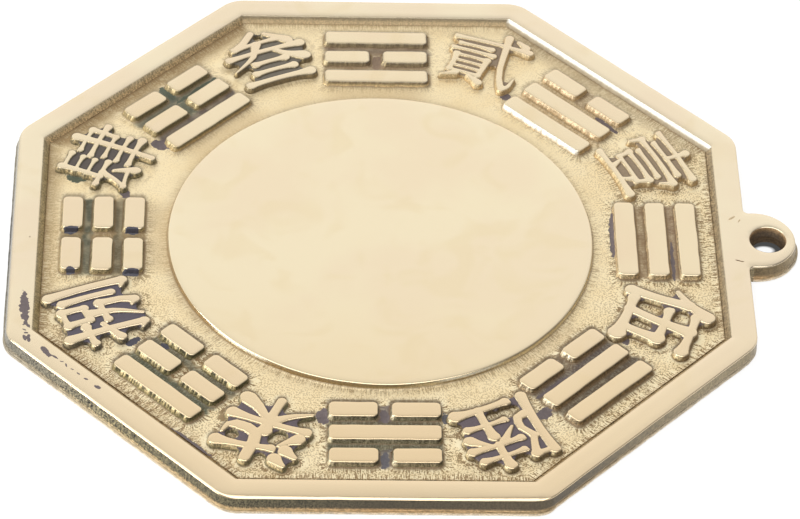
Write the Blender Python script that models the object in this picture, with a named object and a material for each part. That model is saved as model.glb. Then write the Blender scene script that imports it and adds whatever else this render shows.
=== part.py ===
"""Bagua mirror: an octagonal brass plaque with a raised rim, a hanging ear, a polished disc,
eight trigrams of raised bars and a raised numeral in each corner.

Metres. The plaque lies on its back: the origin is the centre of the back face, +Z points out of
the face and +X points at the hanging ear.
"""
import math

import bmesh
import bpy
from mathutils import Matrix, Vector
from mathutils.geometry import delaunay_2d_cdt

# Plaque, in layers from the back
ACROSS_FLATS = 0.127  # at the top of the rim
BACK_LAYER = 0.0012  # back face up to the seam on the edge
FIELD_RISE = 0.0009  # seam up to the sunken field
RECESS_DEPTH = 0.0012  # field up to the top of the rim
CORNER_RADIUS = 0.0055
EDGE_DRAFT = 0.0003  # spread of the edge from the rim's top down to the seam
BACK_LIP = 0.0003  # how far the back plate stands out beyond the rim frame
BACK_EDGE_RADIUS = 0.0003

# Rim
RIM_WIDTH = 0.00443
RIM_SLOPE_RUN = 0.0009
RIM_EDGE_RADIUS = 0.0007

# Hanging ear
EAR_RADIUS = 0.007
EAR_OVERHANG = 0.0015  # the ear's centre beyond the flat
EAR_FILLET = 0.0003  # between the flat and the ear at the back
EAR_HOLE_RADIUS = 0.00325
EAR_TIP_WALL = 0.00155
EAR_HOLE_SOFTENING = 0.00025

# Fits
FIT_GAP = 0.0003
SEAT_DEPTH = 0.0006  # pockets in the field that hold the raised pieces
RELIEF_DROP = 0.0001  # tops of the raised pieces below the rim's
CUT_OVERRUN = 0.002

# Trigram bars
BAR_WIDTH = 0.0037
BAR_LENGTH = 0.019
BAR_SPACING = 0.00165  # between two rows
BAR_BREAK = 0.0019  # between the halves of a broken bar
BAR_CORNER = 0.0009
BAR_CHAMFER = 0.00025
BARS_TO_RIM = 0.00305
BARS_TO_DISC = 0.00405

# Disc
DISC_EDGE_RADIUS = 0.0004

# Numerals
NUMERAL_TO_BARS = 0.0009
NUMERAL_TO_RIM = 0.001
FOOT_RISE = 0.0002  # top of the low foot around the strokes, above the field
STROKE_WIDTH_SHARE = 0.136  # a stroke's width, of the numeral's half size
STROKE_CAP_SHARE = 0.6  # a stroke's blunt tip, of its half width
FOOT_MARGIN_SHARE = 0.043  # the foot beyond a stroke, of the numeral's half size
NUMERAL_CORNER_SHARE = 0.86  # how far its corner strokes reach sideways, of the half size
NUMERAL_BASE_SHARE = 0.95  # how far its base reaches down, of the half size

# Facets
FLATS = 8
CORNER_SEGMENTS = 6
FILLET_SEGMENTS = 3
EAR_SEGMENTS = 24
HOLE_SEGMENTS = 32
DISC_SEGMENTS = 96
BAR_CORNER_SEGMENTS = 2
EDGE_SEGMENTS = 3

# Trigrams counter-clockwise from the ear. Each row is whole or broken, from the disc outwards,
# and the last entry is the number in the corner that follows.
WHOLE = "whole"
BROKEN = "broken"
ROWS = ("inner", "middle", "outer")
TRIGRAMS = (
    ("heaven", (WHOLE, WHOLE, WHOLE), 1),
    ("lake", (WHOLE, WHOLE, BROKEN), 2),
    ("fire", (WHOLE, BROKEN, WHOLE), 3),
    ("thunder", (WHOLE, BROKEN, BROKEN), 4),
    ("earth", (BROKEN, BROKEN, BROKEN), 8),
    ("mountain", (BROKEN, BROKEN, WHOLE), 7),
    ("water", (BROKEN, WHOLE, BROKEN), 6),
    ("wind", (BROKEN, WHOLE, WHOLE), 5),
)

# Strokes of the numerals one to eight in their formal brush forms. A stroke is its weight at the
# start, its weight at the end and its points, in shares of the numeral's reach, up is outwards.
STROKE_SHARES = {
    1: (
        (0.9, 1.0, (-0.90, 0.72), (0.90, 0.76)),
        (1.1, 0.8, (0.00, 1.00), (0.00, 0.50)),
        (0.8, 0.9, (-0.62, 0.45), (0.64, 0.48)),
        (1.0, 0.6, (-0.86, 0.24), (-0.92, -0.06)),
        (0.9, 1.0, (-0.86, 0.22), (0.88, 0.25)),
        (1.0, 0.5, (0.88, 0.24), (0.76, -0.04)),
        (0.8, 0.8, (-0.52, -0.02), (0.52, 0.00)),
        (1.0, 0.8, (-0.56, -0.26), (-0.50, -0.56)),
        (0.8, 0.9, (-0.56, -0.26), (0.56, -0.24)),
        (1.0, 0.8, (0.56, -0.24), (0.49, -0.56)),
        (0.8, 0.8, (-0.50, -0.55), (0.49, -0.54)),
        (0.7, 0.9, (-0.36, -0.62), (-0.24, -0.86)),
        (0.9, 0.6, (0.36, -0.60), (0.24, -0.86)),
        (1.0, 1.1, (-0.84, -0.92), (0.84, -0.90)),
    ),
    2: (
        (0.9, 1.0, (-0.96, 0.60), (0.94, 0.66)),
        (1.1, 1.0, (0.28, 1.00), (0.34, 0.60), (0.44, -0.10), (0.60, -0.66), (0.76, -0.90)),
        (1.0, 0.4, (0.76, -0.90), (0.88, -0.80), (0.92, -0.46)),
        (0.7, 1.1, (0.54, 0.96), (0.82, 0.80)),
        (0.8, 0.9, (-0.78, 0.38), (0.02, 0.41)),
        (0.8, 0.9, (-0.90, 0.16), (0.14, 0.19)),
        (1.0, 0.9, (-0.74, -0.06), (-0.72, -0.68)),
        (0.8, 0.8, (-0.74, -0.06), (0.06, -0.04)),
        (1.0, 0.9, (0.06, -0.04), (0.04, -0.68)),
        (0.7, 0.7, (-0.72, -0.27), (0.04, -0.26)),
        (0.7, 0.7, (-0.72, -0.48), (0.04, -0.47)),
        (0.8, 0.8, (-0.72, -0.68), (0.04, -0.67)),
        (1.0, 0.4, (-0.52, -0.74), (-0.84, -0.94)),
        (0.6, 1.1, (-0.20, -0.74), (0.16, -0.92)),
    ),
    3: (
        (1.1, 0.8, (-0.08, 0.96), (-0.40, 0.66), (-0.68, 0.50)),
        (0.9, 0.9, (-0.68, 0.50), (0.54, 0.58)),
        (0.7, 1.2, (0.24, 0.86), (0.54, 0.60), (0.74, 0.42)),
        (1.0, 1.1, (-0.94, 0.18), (0.96, 0.22)),
        (1.1, 0.4, (-0.10, 0.52), (-0.36, 0.06), (-0.94, -0.30)),
        (0.7, 1.4, (0.26, 0.18), (0.54, -0.08), (0.92, -0.28)),
        (1.0, 1.0, (-0.38, -0.20), (0.40, -0.18)),
        (1.0, 1.0, (-0.50, -0.54), (0.50, -0.52)),
        (1.1, 1.2, (-0.80, -0.90), (0.80, -0.88)),
    ),
    4: (
        (1.0, 0.9, (-0.74, 0.90), (-0.74, -0.12)),
        (0.8, 0.9, (-0.74, 0.84), (-0.22, 0.86)),
        (0.7, 0.8, (-0.74, 0.53), (-0.24, 0.55)),
        (0.7, 0.8, (-0.74, 0.22), (-0.24, 0.24)),
        (0.9, 0.9, (-1.00, -0.12), (-0.18, -0.09)),
        (1.0, 0.7, (-0.58, -0.12), (-0.68, -0.48), (-0.84, -0.78)),
        (0.8, 0.8, (-0.84, -0.78), (-0.26, -0.66)),
        (0.7, 1.2, (-0.40, -0.34), (-0.18, -0.86)),
        (1.2, 0.9, (0.38, 1.00), (0.38, -1.00)),
        (0.8, 0.8, (-0.02, 0.72), (0.76, 0.74)),
        (1.0, 0.8, (0.76, 0.74), (0.74, 0.10)),
        (0.9, 1.0, (-0.12, 0.41), (1.00, 0.44)),
        (0.8, 0.8, (-0.02, 0.09), (0.74, 0.11)),
        (0.8, 0.9, (-0.04, -0.24), (0.82, -0.22)),
        (0.9, 1.1, (-0.06, -0.56), (0.86, -0.53)),
    ),
    5: (
        (1.4, 0.5, (-0.40, 0.98), (-0.64, 0.48), (-0.98, 0.06)),
        (1.1, 1.3, (-0.62, 0.44), (-0.62, -0.98)),
        (1.0, 1.2, (-0.30, 0.74), (0.92, 0.78)),
        (1.3, 1.0, (0.24, 0.74), (0.00, -0.82)),
        (1.0, 1.2, (-0.26, 0.08), (0.72, 0.11)),
        (1.3, 1.0, (0.72, 0.11), (0.60, -0.82)),
        (1.1, 1.5, (-0.38, -0.84), (0.88, -0.82)),
    ),
    6: (
        (1.0, 1.2, (-0.86, 0.90), (-0.84, -0.94)),
        (0.9, 1.0, (-0.86, 0.86), (-0.42, 0.88)),
        (1.0, 0.8, (-0.42, 0.88), (-0.60, 0.32)),
        (0.8, 1.1, (-0.60, 0.32), (-0.42, -0.02), (-0.44, -0.32), (-0.66, -0.38)),
        (0.8, 0.9, (-0.20, 0.66), (0.80, 0.70)),
        (1.1, 0.9, (0.28, 1.00), (0.28, 0.32)),
        (0.9, 1.0, (-0.28, 0.29), (0.94, 0.33)),
        (1.0, 0.4, (0.10, 0.26), (-0.24, -0.12)),
        (0.6, 1.2, (0.48, 0.28), (0.88, -0.04)),
        (1.1, 0.9, (0.28, 0.04), (0.28, -0.86)),
        (0.8, 0.9, (-0.16, -0.38), (0.76, -0.35)),
        (1.0, 1.3, (-0.42, -0.90), (0.84, -0.86)),
    ),
    7: (
        (0.7, 1.2, (-0.80, 0.92), (-0.52, 0.76)),
        (0.7, 1.2, (-0.96, 0.58), (-0.66, 0.44)),
        (0.5, 1.2, (-0.48, 0.36), (-0.84, -0.02)),
        (0.9, 1.2, (-0.34, 0.50), (0.92, 0.70)),
        (1.3, 1.0, (0.10, 1.00), (0.10, 0.24), (0.26, 0.09), (0.68, 0.08)),
        (1.0, 0.4, (0.68, 0.08), (0.86, 0.16), (0.90, 0.40)),
        (1.0, 1.1, (-0.90, -0.28), (0.90, -0.25)),
        (1.2, 0.9, (0.00, 0.02), (0.00, -1.00)),
        (1.1, 0.4, (-0.02, -0.28), (-0.38, -0.62), (-0.82, -0.86)),
        (0.7, 1.4, (0.02, -0.28), (0.40, -0.62), (0.80, -0.84)),
    ),
    8: (
        (1.1, 1.0, (-0.66, 1.00), (-0.66, -0.84)),
        (1.0, 0.4, (-0.66, -0.84), (-0.82, -0.76)),
        (0.9, 1.0, (-0.96, 0.48), (-0.40, 0.51)),
        (1.0, 0.6, (-0.96, -0.16), (-0.40, 0.10)),
        (1.0, 0.9, (-0.20, 0.86), (-0.18, 0.32)),
        (0.8, 0.9, (-0.20, 0.86), (0.26, 0.88)),
        (1.0, 0.9, (0.26, 0.88), (0.24, 0.32)),
        (0.8, 0.8, (-0.18, 0.33), (0.24, 0.34)),
        (0.9, 0.9, (-0.30, -0.08), (0.28, -0.06)),
        (1.0, 1.1, (0.28, -0.06), (0.24, -0.60), (0.12, -0.88)),
        (1.0, 0.4, (0.12, -0.88), (-0.02, -0.78)),
        (1.1, 0.4, (0.00, 0.22), (-0.08, -0.36), (-0.38, -0.92)),
        (1.0, 0.9, (0.54, 0.76), (0.54, -0.46)),
        (1.1, 1.1, (0.84, 1.00), (0.84, -0.84)),
        (1.0, 0.4, (0.84, -0.84), (0.64, -0.74)),
    ),
}

# Low links of the foot, which hold a numeral's separate strokes together
LINK_SHARES = {
    1: ((0.8, 0.8, (0.00, 0.50), (0.00, -0.92)), (0.6, 0.6, (-0.90, 0.10), (-0.52, -0.02))),
    2: ((0.6, 0.6, (-0.36, 0.60), (-0.34, -0.10)), (0.6, 0.6, (-0.52, -0.68), (-0.52, -0.80)),
        (0.6, 0.6, (-0.20, -0.68), (-0.20, -0.80)), (0.6, 0.6, (0.54, 0.96), (0.54, 0.64))),
    3: ((0.8, 0.8, (0.00, 0.20), (0.00, -0.90)),),
    4: ((0.6, 0.6, (-0.40, -0.10), (-0.40, -0.40)), (0.6, 0.6, (-0.30, 0.54), (0.00, 0.41))),
    5: ((0.6, 0.6, (-0.62, 0.08), (-0.26, 0.08)),),
    6: ((0.6, 0.6, (-0.50, 0.30), (-0.20, 0.30)), (0.6, 0.6, (0.28, 0.32), (0.28, 0.00)),
        (0.6, 0.6, (0.44, 0.31), (0.50, 0.25)), (0.6, 0.6, (0.10, 0.26), (0.12, 0.30))),
    7: ((0.6, 0.6, (-0.52, 0.76), (-0.66, 0.44)), (0.6, 0.6, (-0.66, 0.44), (-0.54, 0.28)),
        (0.6, 0.6, (-0.54, 0.42), (-0.30, 0.50)), (0.6, 0.6, (0.10, 0.20), (0.00, 0.00))),
    8: ((0.6, 0.6, (-0.62, 0.50), (-0.18, 0.50)), (0.6, 0.6, (0.02, 0.34), (0.00, 0.14)),
        (0.6, 0.6, (0.24, 0.42), (0.86, 0.42))),
}

# Brass: colour, roughness
POLISHED = ((0.84, 0.70, 0.45), 0.22)
TEXTURED = ((0.62, 0.48, 0.26), 0.48)

# Levels above the back face
field_top = BACK_LAYER + FIELD_RISE
rim_top = field_top + RECESS_DEPTH
seat_floor = field_top - SEAT_DEPTH
seated = seat_floor + FIT_GAP
relief_top = rim_top - RELIEF_DROP

# Places on the face, worked inwards from the rim
edge_apothem = ACROSS_FLATS / 2
back_spread = EDGE_DRAFT + BACK_LIP
rim_inner = edge_apothem - RIM_WIDTH
rim_foot = rim_inner - RIM_SLOPE_RUN
row_pitch = BAR_WIDTH + BAR_SPACING
outer_row = rim_foot - BARS_TO_RIM - BAR_WIDTH / 2
row_radii = [outer_row - (len(ROWS) - 1 - row) * row_pitch for row in range(len(ROWS))]
disc_radius = row_radii[0] - BAR_WIDTH / 2 - BARS_TO_DISC
half_bar_length = (BAR_LENGTH - BAR_BREAK) / 2
sector = 2 * math.pi / FLATS
ear_centre = edge_apothem + EAR_OVERHANG
ear_hole = ear_centre + EAR_RADIUS - EAR_TIP_WALL - EAR_HOLE_RADIUS


def numeral_place():
    """Half size and centre radius of a numeral that clears the bars' ends and the rim's corner."""
    sine, cosine = math.sin(sector / 2), math.cos(sector / 2)
    slope = sine / cosine
    clearances = NUMERAL_TO_BARS / slope + NUMERAL_TO_RIM * slope
    room = rim_foot / cosine - BAR_LENGTH / 2 / sine - clearances
    below = NUMERAL_BASE_SHARE + NUMERAL_CORNER_SHARE / slope
    above = 1 + NUMERAL_CORNER_SHARE * slope
    half = room / (below + above)
    radius = BAR_LENGTH / 2 / sine + NUMERAL_TO_BARS / slope + below * half
    return half, radius


numeral_half, numeral_radius = numeral_place()
half_stroke = numeral_half * STROKE_WIDTH_SHARE / 2
foot_margin = numeral_half * FOOT_MARGIN_SHARE
numeral_reach = numeral_half - half_stroke - foot_margin


def clear_scene():
    for thing in list(bpy.data.objects):
        bpy.data.objects.remove(thing, do_unlink=True)
    for group in list(bpy.data.collections):
        bpy.data.collections.remove(group)


def new_collection(name):
    group = bpy.data.collections.new(name)
    bpy.context.scene.collection.children.link(group)
    return group


def brass(name, finish):
    """Principled brass of a given colour and roughness."""
    colour, roughness = finish
    material = bpy.data.materials.new(name)
    material.use_nodes = True
    shader = material.node_tree.nodes["Principled BSDF"]
    shader.inputs["Base Color"].default_value = (*colour, 1.0)
    shader.inputs["Metallic"].default_value = 1.0
    shader.inputs["Roughness"].default_value = roughness
    return material


def mesh_from(name, bm):
    bmesh.ops.recalc_face_normals(bm, faces=bm.faces)
    mesh = bpy.data.meshes.new(name)
    bm.to_mesh(mesh)
    bm.free()
    return mesh


def add_piece(name, mesh, material, parent=None):
    """A named sub-part in the object's own collection."""
    piece = bpy.data.objects.new(name, mesh)
    if not mesh.materials:
        mesh.materials.append(material)
    parts.objects.link(piece)
    piece.parent = parent or plaque
    return piece


def add_cutter(name, mesh):
    """A shape that only cuts or joins, kept out of the model."""
    cutter = bpy.data.objects.new(name, mesh)
    cutter.hide_render = True
    cutter.display_type = "WIRE"
    cutters.objects.link(cutter)
    return cutter


def combine(piece, cutter, operation):
    step = piece.modifiers.new(cutter.name, "BOOLEAN")
    step.operation = operation
    step.solver = "EXACT"
    step.object = cutter


def arc(centre, radius, start, end, segments):
    """Points of an arc, both ends included."""
    turns = [start + (end - start) * step / segments for step in range(segments + 1)]
    return [centre + radius * Vector((math.cos(turn), math.sin(turn))) for turn in turns]


def plaque_outline(spread):
    """Octagon with rounded corners and the ear with a fillet on each side, set out by a spread."""
    fillet = EAR_FILLET + back_spread - spread
    fillet_x = edge_apothem + spread + fillet
    ear = EAR_RADIUS + spread
    fillet_y = math.sqrt((ear + fillet) ** 2 - (fillet_x - ear_centre) ** 2)
    meeting = math.atan2(fillet_y, fillet_x - ear_centre)
    low_fillet = Vector((fillet_x, -fillet_y))
    high_fillet = Vector((fillet_x, fillet_y))
    points = arc(low_fillet, fillet, math.pi, math.pi - meeting, FILLET_SEGMENTS)
    points += arc(Vector((ear_centre, 0)), ear, -meeting, meeting, EAR_SEGMENTS)[1:-1]
    points += arc(high_fillet, fillet, math.pi + meeting, math.pi, FILLET_SEGMENTS)
    corner_distance = (edge_apothem - CORNER_RADIUS) / math.cos(sector / 2)
    corner_radius = CORNER_RADIUS + spread
    for corner in range(FLATS):
        turn = (corner + 1 / 2) * sector
        centre = corner_distance * Vector((math.cos(turn), math.sin(turn)))
        points += arc(centre, corner_radius, corner * sector, (corner + 1) * sector, CORNER_SEGMENTS)
    return points


def plaque_slab(low, high, low_spread, high_spread):
    """The plaque's whole outline between two levels, each with its own spread."""
    bm = bmesh.new()
    bottom = [bm.verts.new((*place, low)) for place in plaque_outline(low_spread)]
    top = [bm.verts.new((*place, high)) for place in plaque_outline(high_spread)]
    bm.faces.new(reversed(bottom))
    bm.faces.new(top)
    for index in range(len(bottom)):
        bm.faces.new((bottom[index - 1], bottom[index], top[index], top[index - 1]))
    return bm


def round_level(bm, level, radius, segments):
    """Round every edge that lies at one level."""
    near = radius / 10
    edges = [edge for edge in bm.edges if all(abs(v.co.z - level) < near for v in edge.verts)]
    rim = [edge for edge in edges if edge.calc_face_angle(0) > math.radians(30)]
    bmesh.ops.bevel(bm, geom=rim, offset=radius, segments=segments, profile=0.5, affect="EDGES")


def turned(low_radius, high_radius, low, high, segments, turn=0):
    """A prism or cone between two levels."""
    bm = bmesh.new()
    bmesh.ops.create_cone(bm, cap_ends=True, segments=segments, radius1=low_radius,
                          radius2=high_radius, depth=high - low)
    bmesh.ops.rotate(bm, verts=bm.verts, matrix=Matrix.Rotation(turn, 3, "Z"))
    bmesh.ops.translate(bm, verts=bm.verts, vec=(0, 0, (low + high) / 2))
    return bm


def spun(profile, segments):
    """A solid turned about Z from a profile of radii and levels that ends on the axis."""
    bm = bmesh.new()
    points = [bm.verts.new((radius, 0, level)) for radius, level in profile]
    edges = [bm.edges.new(pair) for pair in zip(points, points[1:])]
    bmesh.ops.spin(bm, geom=points + edges, axis=(0, 0, 1), cent=(0, 0, 0), angle=2 * math.pi,
                   steps=segments, use_merge=True)
    bmesh.ops.remove_doubles(bm, verts=bm.verts, dist=FIT_GAP / 100)
    return bm


def octagon(low_apothem, high_apothem, low, high):
    across = math.cos(sector / 2)
    return turned(low_apothem / across, high_apothem / across, low, high, FLATS, sector / 2)


def bar(length, width, corner, low, high):
    """A bar with rounded ends, lying along X."""
    bm = bmesh.new()
    bmesh.ops.create_cube(bm, size=1)
    bmesh.ops.scale(bm, verts=bm.verts, vec=(length, width, high - low))
    bmesh.ops.translate(bm, verts=bm.verts, vec=(0, 0, (low + high) / 2))
    upright = [edge for edge in bm.edges if edge.verts[0].co.xy == edge.verts[1].co.xy]
    bmesh.ops.bevel(bm, geom=upright, offset=corner, segments=BAR_CORNER_SEGMENTS, profile=0.5,
                    affect="EDGES")
    return bm


def stroke_shapes(strokes, grow):
    """Outlines of the strokes of a numeral, one for each straight stretch."""
    shapes = []
    for start_weight, end_weight, *points in strokes:
        places = [numeral_reach * Vector(point) for point in points]
        stretches = len(places) - 1
        for index in range(stretches):
            start, end = places[index], places[index + 1]
            along = (end - start).normalized()
            across = Vector((-along.y, along.x))
            steps = (index / stretches, (index + 1) / stretches)
            weights = [start_weight + (end_weight - start_weight) * step for step in steps]
            wide, tip = [half_stroke * weight + grow for weight in weights]
            shapes.append((
                start + across * wide,
                start - along * wide * STROKE_CAP_SHARE,
                start - across * wide,
                end - across * tip,
                end + along * tip * STROKE_CAP_SHARE,
                end + across * tip,
            ))
    return shapes


def merged_prism(shapes, low, high):
    """Overlapping flat outlines joined into one outline and raised between two levels."""
    corners = [corner for shape in shapes for corner in shape]
    size = len(shapes[0])
    loops = [list(range(first, first + size)) for first in range(0, len(corners), size)]
    places, _, faces, _, _, sources = delaunay_2d_cdt(corners, [], loops, 0, FIT_GAP / 1000, True)
    bm = bmesh.new()
    verts = [bm.verts.new((*place, low)) for place in places]
    for face, source in zip(faces, sources):
        if source:
            bm.faces.new([verts[index] for index in face])
    bmesh.ops.delete(bm, geom=[v for v in bm.verts if not v.link_faces], context="VERTS")
    bmesh.ops.dissolve_limit(bm, angle_limit=math.radians(1), verts=bm.verts, edges=bm.edges)
    raised = bmesh.ops.extrude_face_region(bm, geom=bm.faces[:], use_keep_orig=True)
    upper = [item for item in raised["geom"] if isinstance(item, bmesh.types.BMVert)]
    bmesh.ops.translate(bm, verts=upper, vec=(0, 0, high - low))
    return bm


def numeral_foot(number, grow, low, high):
    strokes = STROKE_SHARES[number] + LINK_SHARES[number]
    return merged_prism(stroke_shapes(strokes, foot_margin + grow), low, high)


def outward(index):
    """Turn about Z that points a piece's +Y outwards, at a trigram or halfway to the next."""
    return Matrix.Rotation(index * sector - math.pi / 2, 4, "Z")


def row_stretches(kind):
    """Suffix, sideways place and length of the bars in a row."""
    if kind == WHOLE:
        return (("", 0, BAR_LENGTH),)
    aside = (BAR_BREAK + half_bar_length) / 2
    return (("_left", -aside, half_bar_length), ("_right", aside, half_bar_length))


def gather(bm, piece, place):
    """Add a piece's shape at its place to a cutter that holds many."""
    bmesh.ops.transform(piece, matrix=place, verts=piece.verts)
    mesh = mesh_from("pocket", piece)
    bm.from_mesh(mesh)
    bpy.data.meshes.remove(mesh)


def bar_pockets():
    bm = bmesh.new()
    for index, (_, kinds, _) in enumerate(TRIGRAMS):
        for radius, kind in zip(row_radii, kinds):
            for _, aside, length in row_stretches(kind):
                pocket = bar(length + 2 * FIT_GAP, BAR_WIDTH + 2 * FIT_GAP, BAR_CORNER + FIT_GAP,
                             seat_floor, field_top + CUT_OVERRUN)
                gather(bm, pocket, outward(index) @ Matrix.Translation((aside, radius, 0)))
    return bm


def numeral_pockets():
    bm = bmesh.new()
    for index, (_, _, number) in enumerate(TRIGRAMS):
        pocket = numeral_foot(number, FIT_GAP, seat_floor, field_top + CUT_OVERRUN)
        place = outward(index + 1 / 2) @ Matrix.Translation((0, numeral_radius, 0))
        gather(bm, pocket, place)
    return bm


def cut_ear_hole(piece):
    combine(piece, ear_hole_cutter, "DIFFERENCE")


def make_back_plate():
    """Octagonal back with the ear's back half, the raised field and its pockets."""
    slab = plaque_slab(0, BACK_LAYER, back_spread, back_spread)
    round_level(slab, 0, BACK_EDGE_RADIUS, EDGE_SEGMENTS)
    plate = add_piece("back_plate", mesh_from("back_plate", slab), textured)
    apothem = rim_foot - FIT_GAP
    field = octagon(apothem, apothem, BACK_LAYER / 2, field_top)
    combine(plate, add_cutter("field", mesh_from("field", field)), "UNION")
    recess = turned(disc_radius + FIT_GAP, disc_radius + FIT_GAP, seat_floor,
                    field_top + CUT_OVERRUN, DISC_SEGMENTS)
    combine(plate, add_cutter("disc_recess", mesh_from("disc_recess", recess)), "DIFFERENCE")
    combine(plate, add_cutter("bar_pockets", mesh_from("bar_pockets", bar_pockets())), "DIFFERENCE")
    numerals = add_cutter("numeral_pockets", mesh_from("numeral_pockets", numeral_pockets()))
    combine(plate, numerals, "DIFFERENCE")
    cut_ear_hole(plate)


def make_rim_frame():
    """Octagonal rim with the ear's front half and a sloping inner wall."""
    low = BACK_LAYER + FIT_GAP
    slab = plaque_slab(low, rim_top, EDGE_DRAFT, 0)
    round_level(slab, rim_top, RIM_EDGE_RADIUS, EDGE_SEGMENTS)
    frame = add_piece("rim_frame", mesh_from("rim_frame", slab), polished)
    opening = octagon(rim_foot, rim_foot, low - CUT_OVERRUN, rim_top + CUT_OVERRUN)
    combine(frame, add_cutter("rim_opening", mesh_from("rim_opening", opening)), "DIFFERENCE")
    spread = RIM_SLOPE_RUN / RECESS_DEPTH * CUT_OVERRUN
    slope = octagon(rim_foot - spread, rim_inner + spread, field_top - CUT_OVERRUN,
                    rim_top + CUT_OVERRUN)
    combine(frame, add_cutter("rim_slope", mesh_from("rim_slope", slope)), "DIFFERENCE")
    cut_ear_hole(frame)


def make_ear_hole_cutter():
    """The ear's through hole, softened at the front."""
    flare = EAR_HOLE_SOFTENING + CUT_OVERRUN
    profile = (
        (0, -CUT_OVERRUN),
        (EAR_HOLE_RADIUS, -CUT_OVERRUN),
        (EAR_HOLE_RADIUS, rim_top - EAR_HOLE_SOFTENING),
        (EAR_HOLE_RADIUS + flare, rim_top + CUT_OVERRUN),
        (0, rim_top + CUT_OVERRUN),
    )
    bm = spun(profile, HOLE_SEGMENTS)
    bmesh.ops.translate(bm, verts=bm.verts, vec=(ear_hole, 0, 0))
    return add_cutter("ear_hole", mesh_from("ear_hole", bm))


def make_disc():
    """Polished round mirror face, seated in its recess."""
    bm = turned(disc_radius, disc_radius, seated, relief_top, DISC_SEGMENTS)
    round_level(bm, relief_top, DISC_EDGE_RADIUS, EDGE_SEGMENTS)
    add_piece("mirror_disc", mesh_from("mirror_disc", bm), polished)


def bar_mesh(name, length):
    bm = bar(length, BAR_WIDTH, BAR_CORNER, seated, relief_top)
    round_level(bm, relief_top, BAR_CHAMFER, 1)
    return mesh_from(name, bm)


def make_trigrams():
    """Three rows of bars on each side of the octagon."""
    meshes = {BAR_LENGTH: bar_mesh("whole_bar", BAR_LENGTH),
              half_bar_length: bar_mesh("half_bar", half_bar_length)}
    for index, (trigram, kinds, _) in enumerate(TRIGRAMS):
        side = bpy.data.objects.new(trigram + "_trigram", None)
        parts.objects.link(side)
        side.parent = plaque
        side.matrix_local = outward(index)
        for row, radius, kind in zip(ROWS, row_radii, kinds):
            for suffix, aside, length in row_stretches(kind):
                name = f"{trigram}_{row}_bar{suffix}"
                piece = add_piece(name, meshes[length], polished, side)
                piece.location = (aside, radius, 0)


def make_numerals():
    """A numeral in each corner, its strokes raised on a low foot."""
    for index, (_, _, number) in enumerate(TRIGRAMS):
        name = f"numeral_{number}"
        foot_top = field_top + FOOT_RISE
        foot = numeral_foot(number, 0, seated, foot_top)
        piece = add_piece(name, mesh_from(name, foot), polished)
        shapes = stroke_shapes(STROKE_SHARES[number], 0)
        strokes = merged_prism(shapes, foot_top - FOOT_RISE / 2, relief_top)
        cutter = add_cutter(name + "_strokes", mesh_from(name + "_strokes", strokes))
        cutter.parent = piece
        combine(piece, cutter, "UNION")
        piece.matrix_local = outward(index + 1 / 2) @ Matrix.Translation((0, numeral_radius, 0))


clear_scene()
parts = new_collection("bagua_mirror")
cutters = new_collection("cutters")
polished = brass("polished_brass", POLISHED)
textured = brass("textured_brass", TEXTURED)
plaque = bpy.data.objects.new("plaque", None)
parts.objects.link(plaque)
ear_hole_cutter = make_ear_hole_cutter()
make_back_plate()
make_rim_frame()
make_disc()
make_trigrams()
make_numerals()
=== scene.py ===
import math

import bpy
import numpy as np
from mathutils import Euler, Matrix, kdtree
from mathutils.geometry import delaunay_2d_cdt

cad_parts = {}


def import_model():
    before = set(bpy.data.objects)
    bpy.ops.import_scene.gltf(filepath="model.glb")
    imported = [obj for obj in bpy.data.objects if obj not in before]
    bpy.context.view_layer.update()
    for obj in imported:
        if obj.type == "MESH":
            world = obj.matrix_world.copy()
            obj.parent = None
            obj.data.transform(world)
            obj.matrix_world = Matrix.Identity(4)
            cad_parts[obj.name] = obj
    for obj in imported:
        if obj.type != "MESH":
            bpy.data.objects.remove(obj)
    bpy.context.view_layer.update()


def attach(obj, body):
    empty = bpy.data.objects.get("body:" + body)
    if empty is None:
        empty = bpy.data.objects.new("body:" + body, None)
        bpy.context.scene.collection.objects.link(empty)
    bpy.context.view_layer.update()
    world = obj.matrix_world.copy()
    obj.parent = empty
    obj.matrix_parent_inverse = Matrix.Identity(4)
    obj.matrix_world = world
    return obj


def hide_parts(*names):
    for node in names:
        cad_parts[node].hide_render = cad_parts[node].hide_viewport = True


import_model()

# Looks of an octagonal brass bagua mirror. It lies on its back, +X points at the hanging ear and +Z out
# of the polished face. Lengths are in millimetres unless a comment says metres. Colours are in sRGB steps
# from 0 to 255.
MM = 0.001

# Camera, in metres and radians
CAMERA_AT = (-0.0236137, -0.5513672, 0.5071747)
CAMERA_TURN = (0.8248216, -0.0330453, -0.0186922)
LENS = 194.594

# Plaque, as in the solids
EDGE_APOTHEM = 63.5
CORNER_RADIUS = 5.5
LIP_TOP = 1.2
FIELD = 2.1
RIM_TOP = 3.3
LIP_SPREAD = 0.6
RIM_INNER = 59.07
RIM_FOOT = 58.17
EAR_CENTRE = 65.0
EAR_RADIUS = 7.0
EAR_FILLET = 0.9
HOLE_CENTRE = 67.2
HOLE_RADIUS = 3.25
DISC_RADIUS = 36.67
ROW_RADII = (42.57, 47.92, 53.27)
BAR_WIDTH = 3.7
BAR_LENGTH = 19.0
BAR_BREAK = 1.9
BAR_CORNER = 0.9
NUMERAL_HALF = 8.112
NUMERAL_RADIUS = 51.547
NUMERAL_REACH = 7.21
HALF_STROKE = 0.5516

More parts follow.
